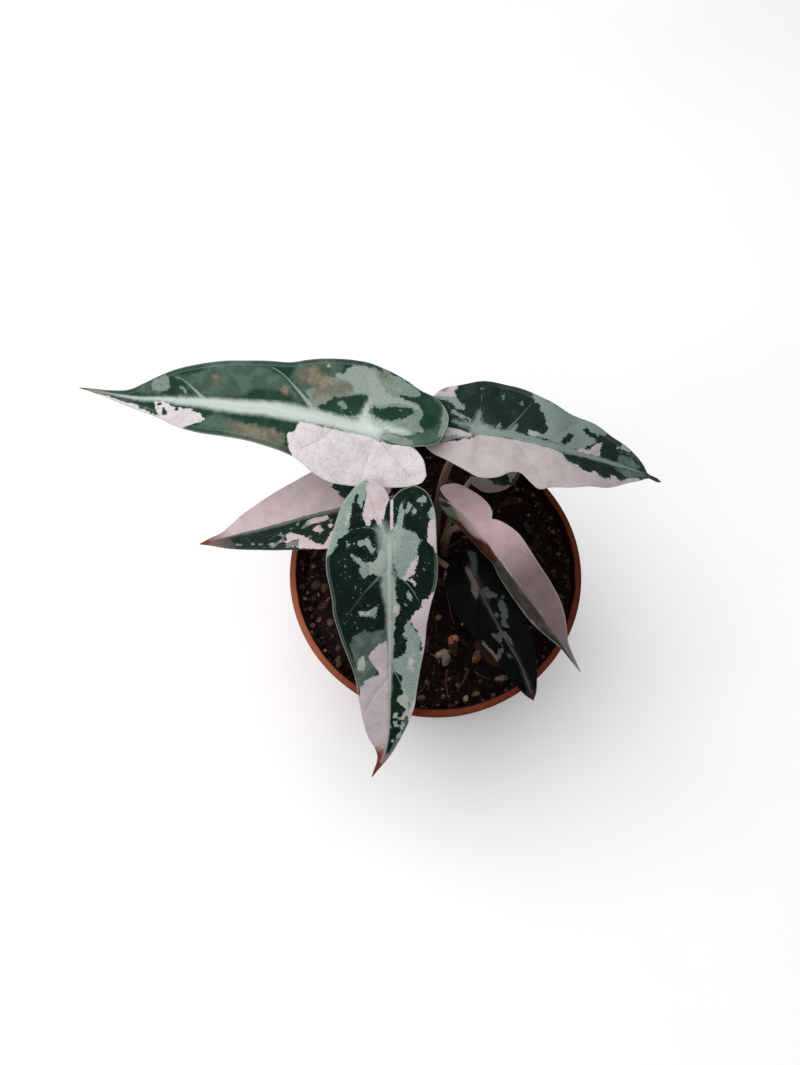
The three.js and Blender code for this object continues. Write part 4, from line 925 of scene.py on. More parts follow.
# %% Build a blade
LOBE_SHARE_OF_ROWS = 0.16
HALF_THICKNESS = 0.4
GROOVE = 0.28
RIDGE = 0.9
VEIN_SUNK = 0.16
VEIN_RAISED = 0.22
SWELLING = 0.16
MARGIN_NOSE = 0.16


def closed_blade(faces, rim, count):
    """Faces of the top, of the underside turned over, and of two strips round the margin."""
    nose = {vertex: 2 * count + k for k, vertex in enumerate(rim[:, 0])}
    shell = list(faces) + [[count + vertex for vertex in face[::-1]] for face in faces]
    for start, end in rim.tolist():
        shell.append([end, start, nose[start], nose[end]])
        shell.append([nose[end], nose[start], count + start, count + end])
    return shell


def build_blade(name, finish, rows, columns):
    leaf = LEAVES[name]
    spine = Spine(leaf)
    lobe_rows = round(rows * LOBE_SHARE_OF_ROWS)
    flat, faces = flat_grid(leaf, spine.length, lobe_rows, rows - lobe_rows, columns)
    along, across = flat.T
    count, rim = len(flat), margin_of(faces)
    edge = rim[:, 0]
    from_margin = margin_distance(flat, rim)
    from_vein, from_line = vein_lines(name, flat)
    rank, gap = vein_rank(flat)

    # The sheet between the two faces, slightly uneven.
    middle = bend(leaf, spine, flat)
    normals = upward(middle, faces)
    inland = np.clip(from_margin / 4, 0, 1)
    seed = sum(map(ord, name))
    middle = middle + normals * (swell(flat, seed) * (0.4 + 0.6 * inland))[:, None]

    # The relief, deepest along the midrib near the stalk: a groove above and a ridge below, furrows over
    # the side veins and soft swellings between them.
    rib_share = np.clip(1 - along / spine.length, 0, 1) ** 0.7
    rib_share = np.where(along < 0, np.clip(1 - along / leaf["sinus"], 0, 1), rib_share)
    groove = GROOVE * rib_share * np.exp(-(across / 0.9) ** 2)
    ridge = RIDGE * rib_share * np.exp(-(across / 1.1) ** 2)
    sunk = np.exp(-(from_vein / 0.8) ** 2) * np.clip(from_margin / 3, 0, 1)
    puff = SWELLING * (np.clip(from_vein / 4, 0, 1) - 0.5) * inland
    thick = HALF_THICKNESS * (0.6 + 0.4 * np.clip(from_margin / 3, 0, 1))
    top = middle + normals * (thick - groove - VEIN_SUNK * sunk + puff)[:, None]
    under = middle - normals * (thick + ridge + VEIN_RAISED * sunk - puff)[:, None]
    points = np.vstack([top, under, middle[edge] + MARGIN_NOSE * outward(middle, normals, rim)])

    def on_all(values):
        """Values of the flat leaf for the top, the underside and the margin."""
        return np.r_[values, values, values[edge]]

    # What the finish reads at each point.
    depths = {colour: on_all(depth) for colour, depth in painted(name, flat).items()}
    above = np.r_[np.ones(count), np.zeros(count), np.full(len(edge), 0.5)]
    stored = {
        "place": np.stack([on_all(along), on_all(across), on_all(from_margin)], -1),
        "ribs": np.stack([on_all(rank), on_all(gap), above], -1),
        "marks": np.stack([depths["mid"], depths["mint"], depths["pink"]], -1),
        "washes": np.stack([depths["pale"], depths["tan"], depths["glow"]], -1),
        "veins": np.stack([on_all(from_vein), on_all(along / spine.length), on_all(from_line)], -1),
        "extra": np.stack([depths["spot"]] * 3, -1),
    }
    shell = closed_blade(faces, rim, count)
    return make_piece(f"leaf_{name}", points, shell, finish, f"blade_{name}", stored)


# %% [markdown]
# ## The leaf finish
# One recipe serves all leaves, because they are one plant; only the tones differ. From below upwards:
# deep green, mid-green, grey-mint sectors with a fine grain, pale ones, brown aged blotches, the light that
# bleeds from the midrib and from the side veins, pink sectors with a net of tiny grey veins, the midrib's
# own line, the line that follows the margin, and the brown tip. The underside is duller and paler. The
# surface is satin, with the faint leathery grain of a real blade as bump.

# %% The leaf finish
# What one leaf may change: how soft the mid-green's edge is and how ragged all edges are; the strength of the
# pale hem, of the line inside the margin (inset is its distance), of the specks, grain, net and aged
# blotches; how much painted shade darkens the pink along the leaf; the depths between which the light of the
# ribs comes up; and how far the brown tip leans to one side.
USUAL_TONE = {"soft": 0.45, "ragged": 1.0, "hem": 0.4, "line": 0.25, "inset": 1.8, "specks": 0.5,
              "grain": 1.0, "net": 0.2, "aged": 0.6, "painted_shade_along": 0.0, "glow": (-1.7, 1.0), "lean": 0.0}


def leaf_finish(name, dark, mid, mint, pale, pink, rib, cord, tip, tone, old=(0.19, 0.155, 0.11)):
    """Colours of one leaf. cord is the midrib's line as (colour, half width, strength), and tip is (colour,
    share from which it is brown, colour of the wash before it, share from which it fades)."""
    tone = {**USUAL_TONE, **tone}
    f = Finish(name)
    u, v, margin = f.stored("place")
    rank, gap, above = f.stored("ribs")
    mid_depth, mint_depth, pink_depth = f.stored("marks")
    pale_depth, tan_depth, glow = f.stored("washes")
    vein, share, line = f.stored("veins")
    spot_depth = f.stored("extra")[0]
    flat = f.place(u, v, above)
    coarse = f.clouds(flat, 0.42, 2) - 0.5
    streak = f.clouds(f.place(rank * 3.2, abs(v) * 0.45 + u * 0.25, above), 0.6, 3) - 0.5
    fine = f.clouds(flat, 2.1, 2) - 0.5
    off_midrib = 0.25 + 0.75 * abs(v).ease(0.4, 2.8)
    ragged = (coarse * 1.9 + streak * 1.2 + fine * 1.4) * tone["ragged"] * off_midrib
    slow = f.clouds(flat, 0.17, 3)
    grain = f.clouds(flat, 1.2, 4, 0.7)
    tiles = f.cells(flat, 2.0, "F1")

    # The green: deep, then the sectors that are paler by steps.
    leaf = f.paint(dark, [c * 1.5 for c in dark], slow.ease(0.42, 0.7))
    band = margin.ease(tone["inset"] + 0.4, tone["inset"] - 0.5)
    leaf = f.paint(leaf, mid, band * share.ease(-0.05, 0.1) * tone["line"])
    soft = tone["soft"]
    shadowed = f.paint(mid, [c * 0.68 for c in mid], slow.ease(0.62, 0.42))
    leaf = f.paint(leaf, shadowed, (mid_depth + ragged * 0.8).ease(-0.5 * soft, soft))
    specks = (f.clouds(flat, 1.15, 2, 0.6) + slow * 0.35).ease(0.87, 0.91)
    leaf = f.paint(leaf, mint, specks * tone["specks"] * margin.ease(0.5, 1.5))
    grey = f.paint(mint, [c * 0.68 for c in mint], grain.ease(0.45, 0.72) * tone["grain"])
    grey = f.shade(grey, 1.0 + 0.14 * tone["grain"] - 0.4 * tone["grain"] * tiles)
    leaf = f.paint(leaf, grey, (mint_depth + ragged).ease(-0.14, 0.16))
    leaf = f.paint(leaf, f.shade(pale, 1.1 - 0.3 * tiles), (pale_depth + ragged).ease(-0.24, 0.3) * 0.9)
    aged = (tan_depth + ragged * 1.6).ease(-1.3, 1.3) * grain.ease(0.22, 0.56)
    leaf = f.paint(leaf, f.paint(old, [c * 0.55 for c in old], slow.ease(0.4, 0.6)), aged * tone["aged"])
    leaf = f.paint(leaf, (0.55, 0.4, 0.26), (spot_depth + fine).ease(-0.2, 0.6) * 0.8)

    # The light that spreads from the ribs, and the side veins.
    bright_rib = f.paint([c * 1.2 for c in rib], rib, share.ease(0.0, 0.16))
    glowing = (glow + fine * 1.8 + streak * 1.8 + coarse * 0.6).ease(*tone["glow"])
    leaf = f.paint(leaf, bright_rib, glowing * 0.95)
    leaf = f.paint(leaf, [c * 0.8 for c in rib], (1 - line.ease(0.2, 1.5)) * margin.ease(0.5, 2.5) * 0.7)
    between = abs(rank - rank.whole()) * gap
    leaf = f.paint(leaf, rib, (1 - between.ease(0.03, 0.16)) * share.ease(0.02, 0.16) * 0.03)

    # The pink, over all of that, with its net of small veins.
    bent = f.place(u * 0.34 + coarse * 1.2, abs(v) * 0.24 + streak * 0.8, above)
    net = (1 - f.cells(bent, 1.25).ease(0.012, 0.062)) * f.clouds(flat, 0.6, 2).ease(0.34, 0.5)
    small_net = 1 - f.cells(bent, 3.0).ease(0.02, 0.11)
    blush = f.paint(pink, [pink[0] * 0.9, pink[1] * 0.88, pink[2] * 0.88], slow.ease(0.4, 0.66))
    # Painted shade: on a leaf that hangs under others, the pink is darkened from near the stalk towards the
    # tip.
    blush = f.shade(blush, 1.0 - tone["painted_shade_along"] * share.ease(0.02, 0.42))
    blush = f.shade(blush, 1.0 - net.most(small_net * 0.45) * tone["net"])
    blush = f.shade(blush, 1.0 - (1 - vein.ease(0.08, 0.4)) * tone["net"] * 1.2)
    leaf = f.paint(leaf, blush, (pink_depth + ragged).ease(-0.12, 0.14))

    # The midrib's line, the line inside the margin, the hem and the tip.
    cord_colour, half_width, strength = cord
    middle = (1 - abs(v).ease(half_width * 0.5, half_width * 1.5)) * share.ease(-0.03, 0.04)
    leaf = f.paint(leaf, cord_colour, middle * strength * (0.85 + 0.3 * fine))
    from_inset = abs(margin - tone["inset"] + coarse * 0.5)
    inner_line = (1 - from_inset.ease(0.05, 0.17 * tone["inset"])) * share.ease(0.0, 0.1)
    leaf = f.paint(leaf, mint, inner_line * tone["line"] * (1 - pink_depth.ease(-0.5, 0.5)))
    leaf = f.paint(leaf, (0.5, 0.46, 0.42), (1 - margin.ease(0.06, 0.4)) * tone["hem"])
    tip_colour, brown_from, faded_colour, fades_from = tip
    reach = share + streak * 0.08 + coarse * 0.04 + v.ease(0.6, -1.0) * tone["lean"]
    leaf = f.paint(leaf, faded_colour, reach.ease(fades_from, brown_from + 0.02) * 0.8)
    leaf = f.paint(leaf, tip_colour, reach.ease(brown_from, brown_from + 0.05) * 0.95)

    # The underside shows the same patches, duller, with a brown midrib.
    below = f.paint(f.shade(leaf, 0.75), (0.3, 0.33, 0.27), 0.45)
    below = f.paint(below, (0.42, 0.36, 0.3), (1 - abs(v).ease(0.6, 1.4)) * share.ease(1.0, 0.6) * 0.8)
    leaf = f.paint(below, leaf, above.ease(0.3, 0.6))

    height = tiles * 0.3 + fine * 0.5 - net * 0.35 - (1 - between.ease(0.03, 0.3)) * 0.3
    rough = 0.46 + 0.16 * f.clouds(flat, 0.5, 3)
    skin = f.bump(height, 0.00007)
    return f.surface(Base_Color=leaf, Roughness=rough, Normal=skin, Specular_IOR_Level=0.02)


# %% Grow the blades
RUST = (0.12, 0.027, 0.014)
LEAF_COLOURS = {
    "left": dict(
        dark=(0.0125, 0.035, 0.023), mid=(0.068, 0.114, 0.085), mint=(0.185, 0.245, 0.207),
        pale=(0.27, 0.32, 0.28), pink=(0.615, 0.57, 0.583), rib=(0.45, 0.52, 0.47),
        cord=((0.5, 0.56, 0.52), 0.6, 0.5), tip=((0.1, 0.05, 0.03), 0.945, (0.2, 0.17, 0.12), 0.86),
        old=(0.225, 0.185, 0.13),
        tone={"soft": 1.5, "line": 0.3, "specks": 0.1, "net": 0.2, "hem": 0.35, "aged": 0.8,
              "glow": (-1.7, 1.9)}),
    "right": dict(
        dark=(0.0115, 0.0225, 0.0165), mid=(0.115, 0.16, 0.14), mint=(0.192, 0.245, 0.228),
        pale=(0.33, 0.37, 0.34), pink=(0.455, 0.407, 0.409), rib=(0.18, 0.24, 0.21),
        cord=((0.2, 0.26, 0.23), 0.5, 0.4), tip=((0.05, 0.04, 0.03), 0.9, (0.02, 0.026, 0.02), 0.8),
        tone={"soft": 0.8, "line": 0.15, "specks": 0.4, "net": 0.07, "hem": 0.15, "grain": 0.35,
              "ragged": 1.35, "glow": (-1.0, 0.6)}),
    "left_low": dict(
        dark=(0.013, 0.0245, 0.0185), mid=(0.08, 0.105, 0.09), mint=(0.19, 0.225, 0.205),
        pale=(0.38, 0.35, 0.345), pink=(0.58, 0.467, 0.472), rib=(0.15, 0.165, 0.15),
        cord=((0.15, 0.165, 0.15), 0.35, 0.6), tip=((0.16, 0.045, 0.03), 0.9, (0.19, 0.105, 0.1), 0.74),
        tone={"line": 0.05, "specks": 1.0, "net": 0.04, "aged": 0.45, "hem": 0.08}),
    "front": dict(
        dark=(0.0048, 0.0125, 0.0083), mid=(0.095, 0.137, 0.117), mint=(0.24, 0.32, 0.28),
        pale=(0.36, 0.385, 0.35), pink=(0.51, 0.44, 0.45), rib=(0.24, 0.31, 0.27),
        cord=((0.41, 0.4, 0.37), 0.6, 0.85), tip=(RUST, 0.885, (0.3, 0.185, 0.18), 0.86),
        old=(0.12, 0.035, 0.02),
        tone={"line": 0.3, "inset": 0.95, "hem": 0.36, "specks": 0.95, "net": 0.14, "aged": 1.0,
              "lean": 0.035, "ragged": 1.15}),
    # This leaf lies under the right leaf and hangs lower towards its tip, so its pink gets painted shade
    # along the leaf.
    "folded": dict(
        dark=(0.018, 0.03, 0.02), mid=(0.07, 0.064, 0.053), mint=(0.16, 0.2, 0.14),
        pale=(0.22, 0.185, 0.15), pink=(0.62, 0.445, 0.46), rib=(0.46, 0.35, 0.31),
        cord=((0.4, 0.29, 0.28), 0.4, 0.25), tip=((0.2, 0.14, 0.125), 1.0, (0.2, 0.14, 0.13), 0.9),
        old=(0.115, 0.026, 0.016),
        tone={"line": 0.05, "hem": 0.3, "net": 0.04, "aged": 1.0, "painted_shade_along": 0.75}),
    # Painted shade: this low leaf lies deep under the others, so all its colours are given several times
    # darker than those of the upper leaves.
    "low_dark": dict(
        dark=(0.0018, 0.0028, 0.002), mid=(0.018, 0.025, 0.021), mint=(0.055, 0.072, 0.062),
        pale=(0.066, 0.07, 0.058), pink=(0.115, 0.088, 0.085), rib=(0.03, 0.03, 0.027),
        cord=((0.11, 0.088, 0.083), 0.3, 0.5), tip=((0.04, 0.015, 0.01), 0.95, (0.03, 0.02, 0.015), 0.9),
        tone={"line": 0.0, "hem": 0.0, "specks": 0.3, "net": 0.05}),
    # Painted shade: this small leaf lies under the right leaf, so its colours, the pink most, are given
    # darker than those of the upper leaves.
    "rear_small": dict(
        dark=(0.01, 0.018, 0.013), mid=(0.045, 0.055, 0.045), mint=(0.11, 0.13, 0.11),
        pale=(0.2, 0.2, 0.18), pink=(0.22, 0.17, 0.165), rib=(0.09, 0.1, 0.088),
        cord=((0.14, 0.13, 0.12), 0.35, 0.5), tip=((0.06, 0.03, 0.02), 0.95, (0.05, 0.04, 0.03), 0.9),
        tone={"hem": 0.15, "line": 0.05, "net": 0.06, "soft": 1.2}),
}
# Rows along and columns across half a leaf: enough for the smallest patch that shows.
FINENESS = {"left": (330, 46), "right": (210, 46), "front": (240, 48)}
SMALL_LEAF_FINENESS = (170, 30)
for name in LEAVES:
    rows, columns = FINENESS.get(name, SMALL_LEAF_FINENESS)
    build_blade(name, leaf_finish(f"leaf_{name}", **LEAF_COLOURS[name]), rows, columns)

# %% [markdown]
# ## Leaf stalks
# The stalks are fleshy and round with a shallow crease, pinkish brown and mottled along their length,
# thicker at the soil and widened a little where they meet the midrib. A tube round a smooth line, with a
# radius that changes along the way, gives that, which a plain curve bevel doesn't.

# %% A tube along a line
def tube(centres, radii, sides, crease=0.0):
    """Rings of a tube with a side that never twists, closed at both ends."""
    tangents = np.gradient(centres, axis=0)
    tangents /= np.linalg.norm(tangents, axis=1, keepdims=True)
    normal = np.cross(tangents[0], [0.31, 0.87, 0.39])
    turns = 2 * np.pi * np.arange(sides) / sides
    rings = []
    for centre, tangent, radius in zip(centres, tangents, radii):
        normal = normal - tangent * (normal @ tangent)
        normal /= np.linalg.norm(normal)
        side = np.cross(tangent, normal)
        reach = radius * (1 - crease * np.exp(-((turns - np.pi) / 0.5) ** 2))
        round_about = np.cos(turns)[:, None] * normal + np.sin(turns)[:, None] * side
        rings.append(centre + reach[:, None] * round_about)
    points = np.vstack([*rings, centres[:1], centres[-1:]])
    faces = []
    last = (len(centres) - 1) * sides
    for s in range(sides):
        after = (s + 1) % sides
        for r in range(0, last, sides):
            faces.append([r + s, r + after, r + sides + after, r + sides + s])
        faces.append([len(points) - 2, after, s])
        faces.append([len(points) - 1, last + s, last + after])
    return points, faces, np.tile(turns, len(centres))


# %% Build the stalks
HOLE_DEPTH = 6
STALK_SIDES = 24
STALK_STEPS = 90
CREASE = 0.12
# How far under the blade's middle a stalk ends, and how much it widens there. Beside the folded leaf's
# midrib the far half falls away, so that stalk ends lower and hardly widens.
STOP, FOLDED_STOP = 0.7, 1.6
FLARE, FOLDED_FLARE = 0.35, 0.05


def build_stalk(name, finish):
    leaf = LEAVES[name]
    spine = Spine(leaf)
    point, left, up = (part[0] for part in spine.frame(np.array([0.0])))
    leftward, rightward = (math.radians(angles[1]) for angles in leaf["fold"])
    upright = up * (math.cos(leftward) + math.cos(rightward))
    square = upright + left * (math.sin(rightward) - math.sin(leftward))
    square /= np.linalg.norm(square)
    stop, flare = (FOLDED_STOP, FOLDED_FLARE) if name == "folded" else (STOP, FLARE)
    top = point - square * stop
    # Straight up out of its hole, past the leaf's own points, and square onto the blade.
    foot = leaf["foot"]
    course = [(*foot, SOIL_LEVEL - HOLE_DEPTH), (*foot, SOIL_LEVEL + 3.2), (*foot, SOIL_LEVEL + 6.7)]
    course += [(x, y, z + POT_HEIGHT) for x, y, z in leaf["via"]]
    course += [tuple(top - square * 4), tuple(top)]
    line = Line(smooth_line(course, 40, 0.5))
    share = np.linspace(0, 1, STALK_STEPS)
    bottom, above = leaf["radius"]
    radii = bottom + (above - bottom) * share
    # Stouter just above the soil, flared under the blade and slightly uneven all along.
    radii *= 1 + 0.28 * np.exp(-((share * line.length - HOLE_DEPTH) / 7) ** 2)
    radii *= 1 + flare * np.exp(-((1 - share) * line.length / 1.6) ** 2)
    radii *= 1 + 0.02 * np.sin(share * line.length * 0.9 + len(name))
    points, faces, turns = tube(line.at(share * line.length), radii, STALK_SIDES, CREASE)
    along = np.repeat(share * line.length, STALK_SIDES)
    stem = [np.r_[along, 0, line.length], np.r_[turns, 0, 0], np.r_[np.repeat(share, STALK_SIDES), 0, 1]]
    stored = {"stem": np.stack(stem, -1)}
    return make_piece(f"leafstalk_{name}", points, faces, finish, f"stalk_{name}", stored)


# %% The stalks' finish
def stalk_finish(name, base, streaks, top):
    f = Finish(name)
    along, turn, share = f.stored("stem")
    turn_x, turn_y = turn.sum("COSINE", turn), turn.sum("SINE", turn)
    skin = f.place(turn_x, turn_y, along * 0.16)
    dots = f.place(turn_x * 2, turn_y * 2, along)
    colour = f.paint(base, top, share.ease(0.25, 1.0))
    colour = f.paint(colour, streaks, f.clouds(skin, 2.6, 4, 0.65).ease(0.45, 0.68) * 0.75)
    colour = f.paint(colour, [c * 0.3 for c in streaks], f.cells(dots, 0.9, "F1").ease(0.28, 0.16) * 0.45)
    colour = f.paint(colour, (0.1, 0.06, 0.04), share.ease(0.16, 0.05) * 0.7)
    # Painted shade: each stalk is darkened, down to half, towards the soil, where it stands under the leaves.
    colour = f.shade(colour, 0.5 + 0.5 * share.ease(0.15, 0.6))
    height = f.clouds(f.place(turn_x, turn_y, along * 0.05), 5, 3) + 0.3 * f.clouds(dots, 3, 2)
    rough = 0.36 + 0.16 * f.clouds(dots, 1, 2)
    return f.surface(Base_Color=colour, Roughness=rough, Normal=f.bump(height, 0.00012))


PINK_STALK = stalk_finish("stalk_pink_brown", (0.2, 0.105, 0.085), (0.11, 0.045, 0.035), (0.3, 0.19, 0.15))
PALE_STALK = stalk_finish("stalk_pale_green", (0.26, 0.2, 0.13), (0.2, 0.1, 0.075), (0.22, 0.24, 0.14))
for name in LEAVES:
    build_stalk(name, PALE_STALK if name == "rear_small" else PINK_STALK)

# %% [markdown]
# ## Potting mix
# Damp potting mix is nearly black, with bark chips, a few tan and orange bits of clay and pumice, and pale
# root fibres. A noise texture on a flat disc would look like paint, because crumbs cast small shadows.
# So the surface is a fine grid raised by noise, and crumbs, chips and fibres are real little solids sunk
# into it, all in one mesh from seeded random numbers.

# %% The soil's surface
SOIL_EDGE = 54.2
SOIL_FOOT = 40.2
SOIL_BOTTOM = 2.5
SOIL_RINGS = 76
SOIL_SECTORS = 300
CROWN = (-1.5, 12)
MOUND = 2.2
MOUND_RADIUS = 17
RELIEF = 0.45
SOIL_WAVES = [(0.21, 0.13, 0), (-0.11, 0.33, 1.3), (0.27, -0.41, 4)]
CRUMB_SIZES = ((4.6, 1.7), (2.3, 1.2), (1.2, 0.5))


def soil_height(x, y):
    """The smooth surface of the solid: three slow waves, and a mound round the crown of stalks."""
    relief = sum(np.sin(a * x + b * y + start) for a, b, start in SOIL_WAVES)
    away = np.hypot(x - CROWN[0], y - CROWN[1]) / MOUND_RADIUS
    return SOIL_LEVEL + RELIEF * relief + MOUND * np.exp(-away * away)


def crumbly(x, y):
    """Crumbs of three sizes, rounded by the distance from the nearest of many scattered points."""
    spot = Vector((x, y, 0))
    total = noise.noise(spot * 0.22) * 0.8
    for size, height in CRUMB_SIZES:
        nearest = noise.voronoi((spot + Vector((size * 7, 3, 1))) / size)[0]
        total += height * (0.55 - nearest[0]) * (0.6 + 0.8 * noise.cell(spot / size + Vector((5, 2, 8))))
    return total


def soil_sheet(rings, sectors):
    """The raised surface, a skirt down the wall and a flat bottom."""
    turns = 2 * np.pi * np.arange(sectors) / sectors
    points = [(0, 0, float(soil_height(0, 0)) + crumbly(0, 0))]
    for ring in range(1, rings + 1):
        r = SOIL_EDGE * ring / rings
        for turn in turns + (ring % 2) * np.pi / sectors:
            x, y = r * math.cos(turn), r * math.sin(turn)
            # Along the wall the crumbs get lower and the surface dips a little.
            fade = min(1, (SOIL_EDGE - r) / 2 + 0.35)
            points.append((x, y, float(soil_height(x, y)) + fade * crumbly(x, y) - 0.8 * (1 - fade)))
    faces = [[0, 1 + s, 1 + (s + 1) % sectors] for s in range(sectors)]
    for ring in range(1, rings):
        inner, outer = 1 + (ring - 1) * sectors, 1 + ring * sectors
        for s in range(sectors):
            after = (s + 1) % sectors
            faces.append([inner + s, outer + s, outer + after, inner + after])
    rim = 1 + (rings - 1) * sectors
    foot = len(points)
    for turn in turns + (rings % 2) * np.pi / sectors:
        points.append((SOIL_FOOT * math.cos(turn), SOIL_FOOT * math.sin(turn), SOIL_BOTTOM))
    for s in range(sectors):
        after = (s + 1) % sectors
        faces.append([rim + s, foot + s, foot + after, rim + after])
    faces.append([foot + s for s in reversed(range(sectors))])
    return np.array(points), faces


# %% [markdown]
# Crumbs could be scattered as copies of one object, but copies look alike. Here each one is its own dented
# ball, and all of them go into one mesh. Every point stores what kind of grain it belongs to and a random
# number, from which the finish picks a colour.

# %% Tools for the heap
def ball_template(level):
    """Points and faces of a plain ball, to be squashed and roughened for each crumb."""
    work = bmesh.new()
    bmesh.ops.create_icosphere(work, subdivisions=level, radius=1)
    points = np.array([vertex.co[:] for vertex in work.verts])
    faces = [[vertex.index for vertex in face.verts] for face in work.faces]
    work.free()
    return points, faces


def seeded_random(seed):
    """The same simple generator as the solid soil has, so that the chips lie where the solid has them."""
    while True:
        seed = (seed * 48271) % 2147483647
        yield seed / 2147483647


class Heap:
    """Collects many small bodies into one mesh. Each point stores its kind and a random number."""

    def __init__(self, points, faces):
        self.points, self.faces = [points], list(faces)
        self.kinds = [np.tile([0.0, 0.5, 0.0], (len(points), 1))]
        self.count = len(points)

    def add(self, points, faces, kind, luck):
        self.faces += [[vertex + self.count for vertex in face] for face in faces]
        self.points.append(points)
        self.kinds.append(np.tile([kind, luck, 0.0], (len(points), 1)))
        self.count += len(points)


def turned(points, tilt, turn):
    c, s = math.cos(tilt), math.sin(tilt)
    points = points @ np.array([[1, 0, 0], [0, c, s], [0, -s, c]])
    c, s = math.cos(turn), math.sin(turn)
    return points @ np.array([[c, s, 0], [-s, c, 0], [0, 0, 1]])


def lumpy(ball, random, amount):
    """A ball with a few random dents, as a broken crumb has."""
    knobs = random.normal(size=(5, 3))
    knobs /= np.linalg.norm(knobs, axis=1, keepdims=True)
    pull = (np.clip(ball @ knobs.T, 0, 1) ** 2 * random.uniform(-amount, amount, 5)).sum(1)
    return ball * (1 + pull)[:, None]


# %% Start the heap with the soil's surface
KIND = {"crumb": 1.0, "bark": 2.0, "clay": 3.0, "pumice": 4.0, "fibre": 5.0}
heap = Heap(*soil_sheet(SOIL_RINGS, SOIL_SECTORS))
smooth_ball, smooth_faces = ball_template(3)
coarse_ball, coarse_faces = ball_template(2)
random = np.random.default_rng(7)
print("soil surface:", len(heap.faces), "faces")

# %% Bark chips where the solid has them
SOLID_CHIPS = 64
SOLID_INNER_POINTS = 16 * 54
CHIPS_REACH = 49.2
CLEAR_OF_STALKS = 13

lcg = seeded_random(41)
# The solid draws three numbers for each of its inner points before it throws its chips.
for _ in range(SOLID_INNER_POINTS * 3):
    next(lcg)
chips = 0
while chips < SOLID_CHIPS:
    r, turn = CHIPS_REACH * math.sqrt(next(lcg)), 2 * math.pi * next(lcg)
    x, y = r * math.cos(turn), r * math.sin(turn)
    size = 1.3 + 2.2 * next(lcg) ** 2
    stretch, tilt, spin = 1 + 0.9 * next(lcg), 0.5 * (next(lcg) - 0.5), 2 * math.pi * next(lcg)
    if math.hypot(x - CROWN[0], y - CROWN[1]) <= CLEAR_OF_STALKS:
        continue
    chip = lumpy(smooth_ball, random, 0.75) * [size * stretch, size * 0.75, size * 0.5]
    chip = turned(chip, tilt, spin) + [x, y, float(soil_height(x, y)) + 0.1 * size]
    heap.add(chip, smooth_faces, KIND["bark"], random.random() * 0.5)
    chips += 1


# %% [markdown]
# A few bits catch the eye in the photograph: an orange bit of clay, tan pumice in front, and lumps along the
# left side, which the painted light there makes paler. These are placed one by one, and everything else is
# thrown at random.

# %% Bits that stand out
def lie(x, y, size, kind, luck, turn=0.0, shape=(1.15, 0.9, 0.75)):
    """A rounded lump resting on the surface."""
    lump = lumpy(smooth_ball, random, 0.7) * random.uniform(0.9, 1.08, (len(smooth_ball), 1))
    lump = turned(lump * shape * size, 0.1, turn)
    heap.add(lump + [x, y, float(soil_height(x, y)) + 0.4 * size], smooth_faces, KIND[kind], luck)


lie(7.7, -26.2, 2.1, "clay", 0.3, 0.6, (1.05, 0.95, 0.8))
lie(2.6, -32.5, 1.9, "pumice", 0.9)
lie(4.4, -35.4, 1.7, "pumice", 0.6, 0.9)
lie(12.1, -51.1, 1.2, "pumice", 0.5, 1.4, (1.4, 0.9, 0.8))
lie(26.9, -42.9, 1.7, "pumice", 0.15, 0.1, (1.4, 0.7, 0.7))
lie(17.0, -33.0, 2.2, "bark", 0.95, 1.1, (1.5, 0.6, 0.6))

# Lumps along the left side, as (x, y, size); the painted light on the left makes them paler.
LEFT_LUMPS = [(-50.6, -3.5, 2.5), (-46.4, -4.0, 1.9), (-47.1, -12.6, 2.1), (-51.2, -8.7, 1.7),
              (-40.4, -36.3, 1.8), (-40.1, -30.0, 1.6), (-51.7, 5.3, 1.8), (-43.6, -19.0, 2.0),
              (-37.3, -26.7, 1.5), (-48.6, -18, 1.6), (-51.6, 10.6, 1.5), (-44.6, -9.4, 1.4),
              (-42.2, -25, 1.4), (-46.6, -25.4, 1.3), (-33, -42, 1.4)]
for x, y, size in LEFT_LUMPS:
    lie(x, y, size * 0.85, "crumb", random.uniform(0.78, 0.97), random.uniform(0, 3))
# Pale crumbs in front and at the back right, as (x, y, size, how pale).
PALE_CRUMBS = [(-3.6, -44.2, 1.1, 0.97), (-5.3, -50.3, 1.2, 0.99), (15.8, -49.1, 1.2, 0.97),
               (0.4, -47.4, 0.9, 0.95), (46.0, 32.2, 1.3, 0.98), (37.0, 35.0, 1.2, 0.93)]
for x, y, size, luck in PALE_CRUMBS:
    lie(x, y, size, "crumb", luck, random.uniform(0, 3))
print("with chips and lumps:", heap.count, "points")

# %% Loose crumbs
LOOSE_CRUMBS = 700
LOOSE_REACH = 52.6
LEDGE_CRUMBS = 470
LEDGE_START = 53.2
LEDGE_END = 56.6
LEDGE_LEVEL = 94.2


def on_soil(edge):
    r, turn = edge * math.sqrt(random.random()), random.uniform(0, 2 * math.pi)
    return r * math.cos(turn), r * math.sin(turn)


for k in range(LOOSE_CRUMBS):
    x, y = on_soil(LOOSE_REACH)
    size = random.uniform(0.35, 1.15) * (1.5 if k % 9 == 0 else 1)
    grain = lumpy(coarse_ball, random, 0.5) * random.uniform(0.55, 1.35, 3) * size
    grain = turned(grain, random.uniform(-1, 1), random.uniform(0, 6.28))
    grain += [x, y, float(soil_height(x, y)) + crumbly(x, y) + 0.25 * size]
    kind = random.choice(["crumb", "bark", "pumice", "clay"], p=[0.84, 0.145, 0.01, 0.005])
    heap.add(grain, coarse_faces, KIND[kind], random.random())
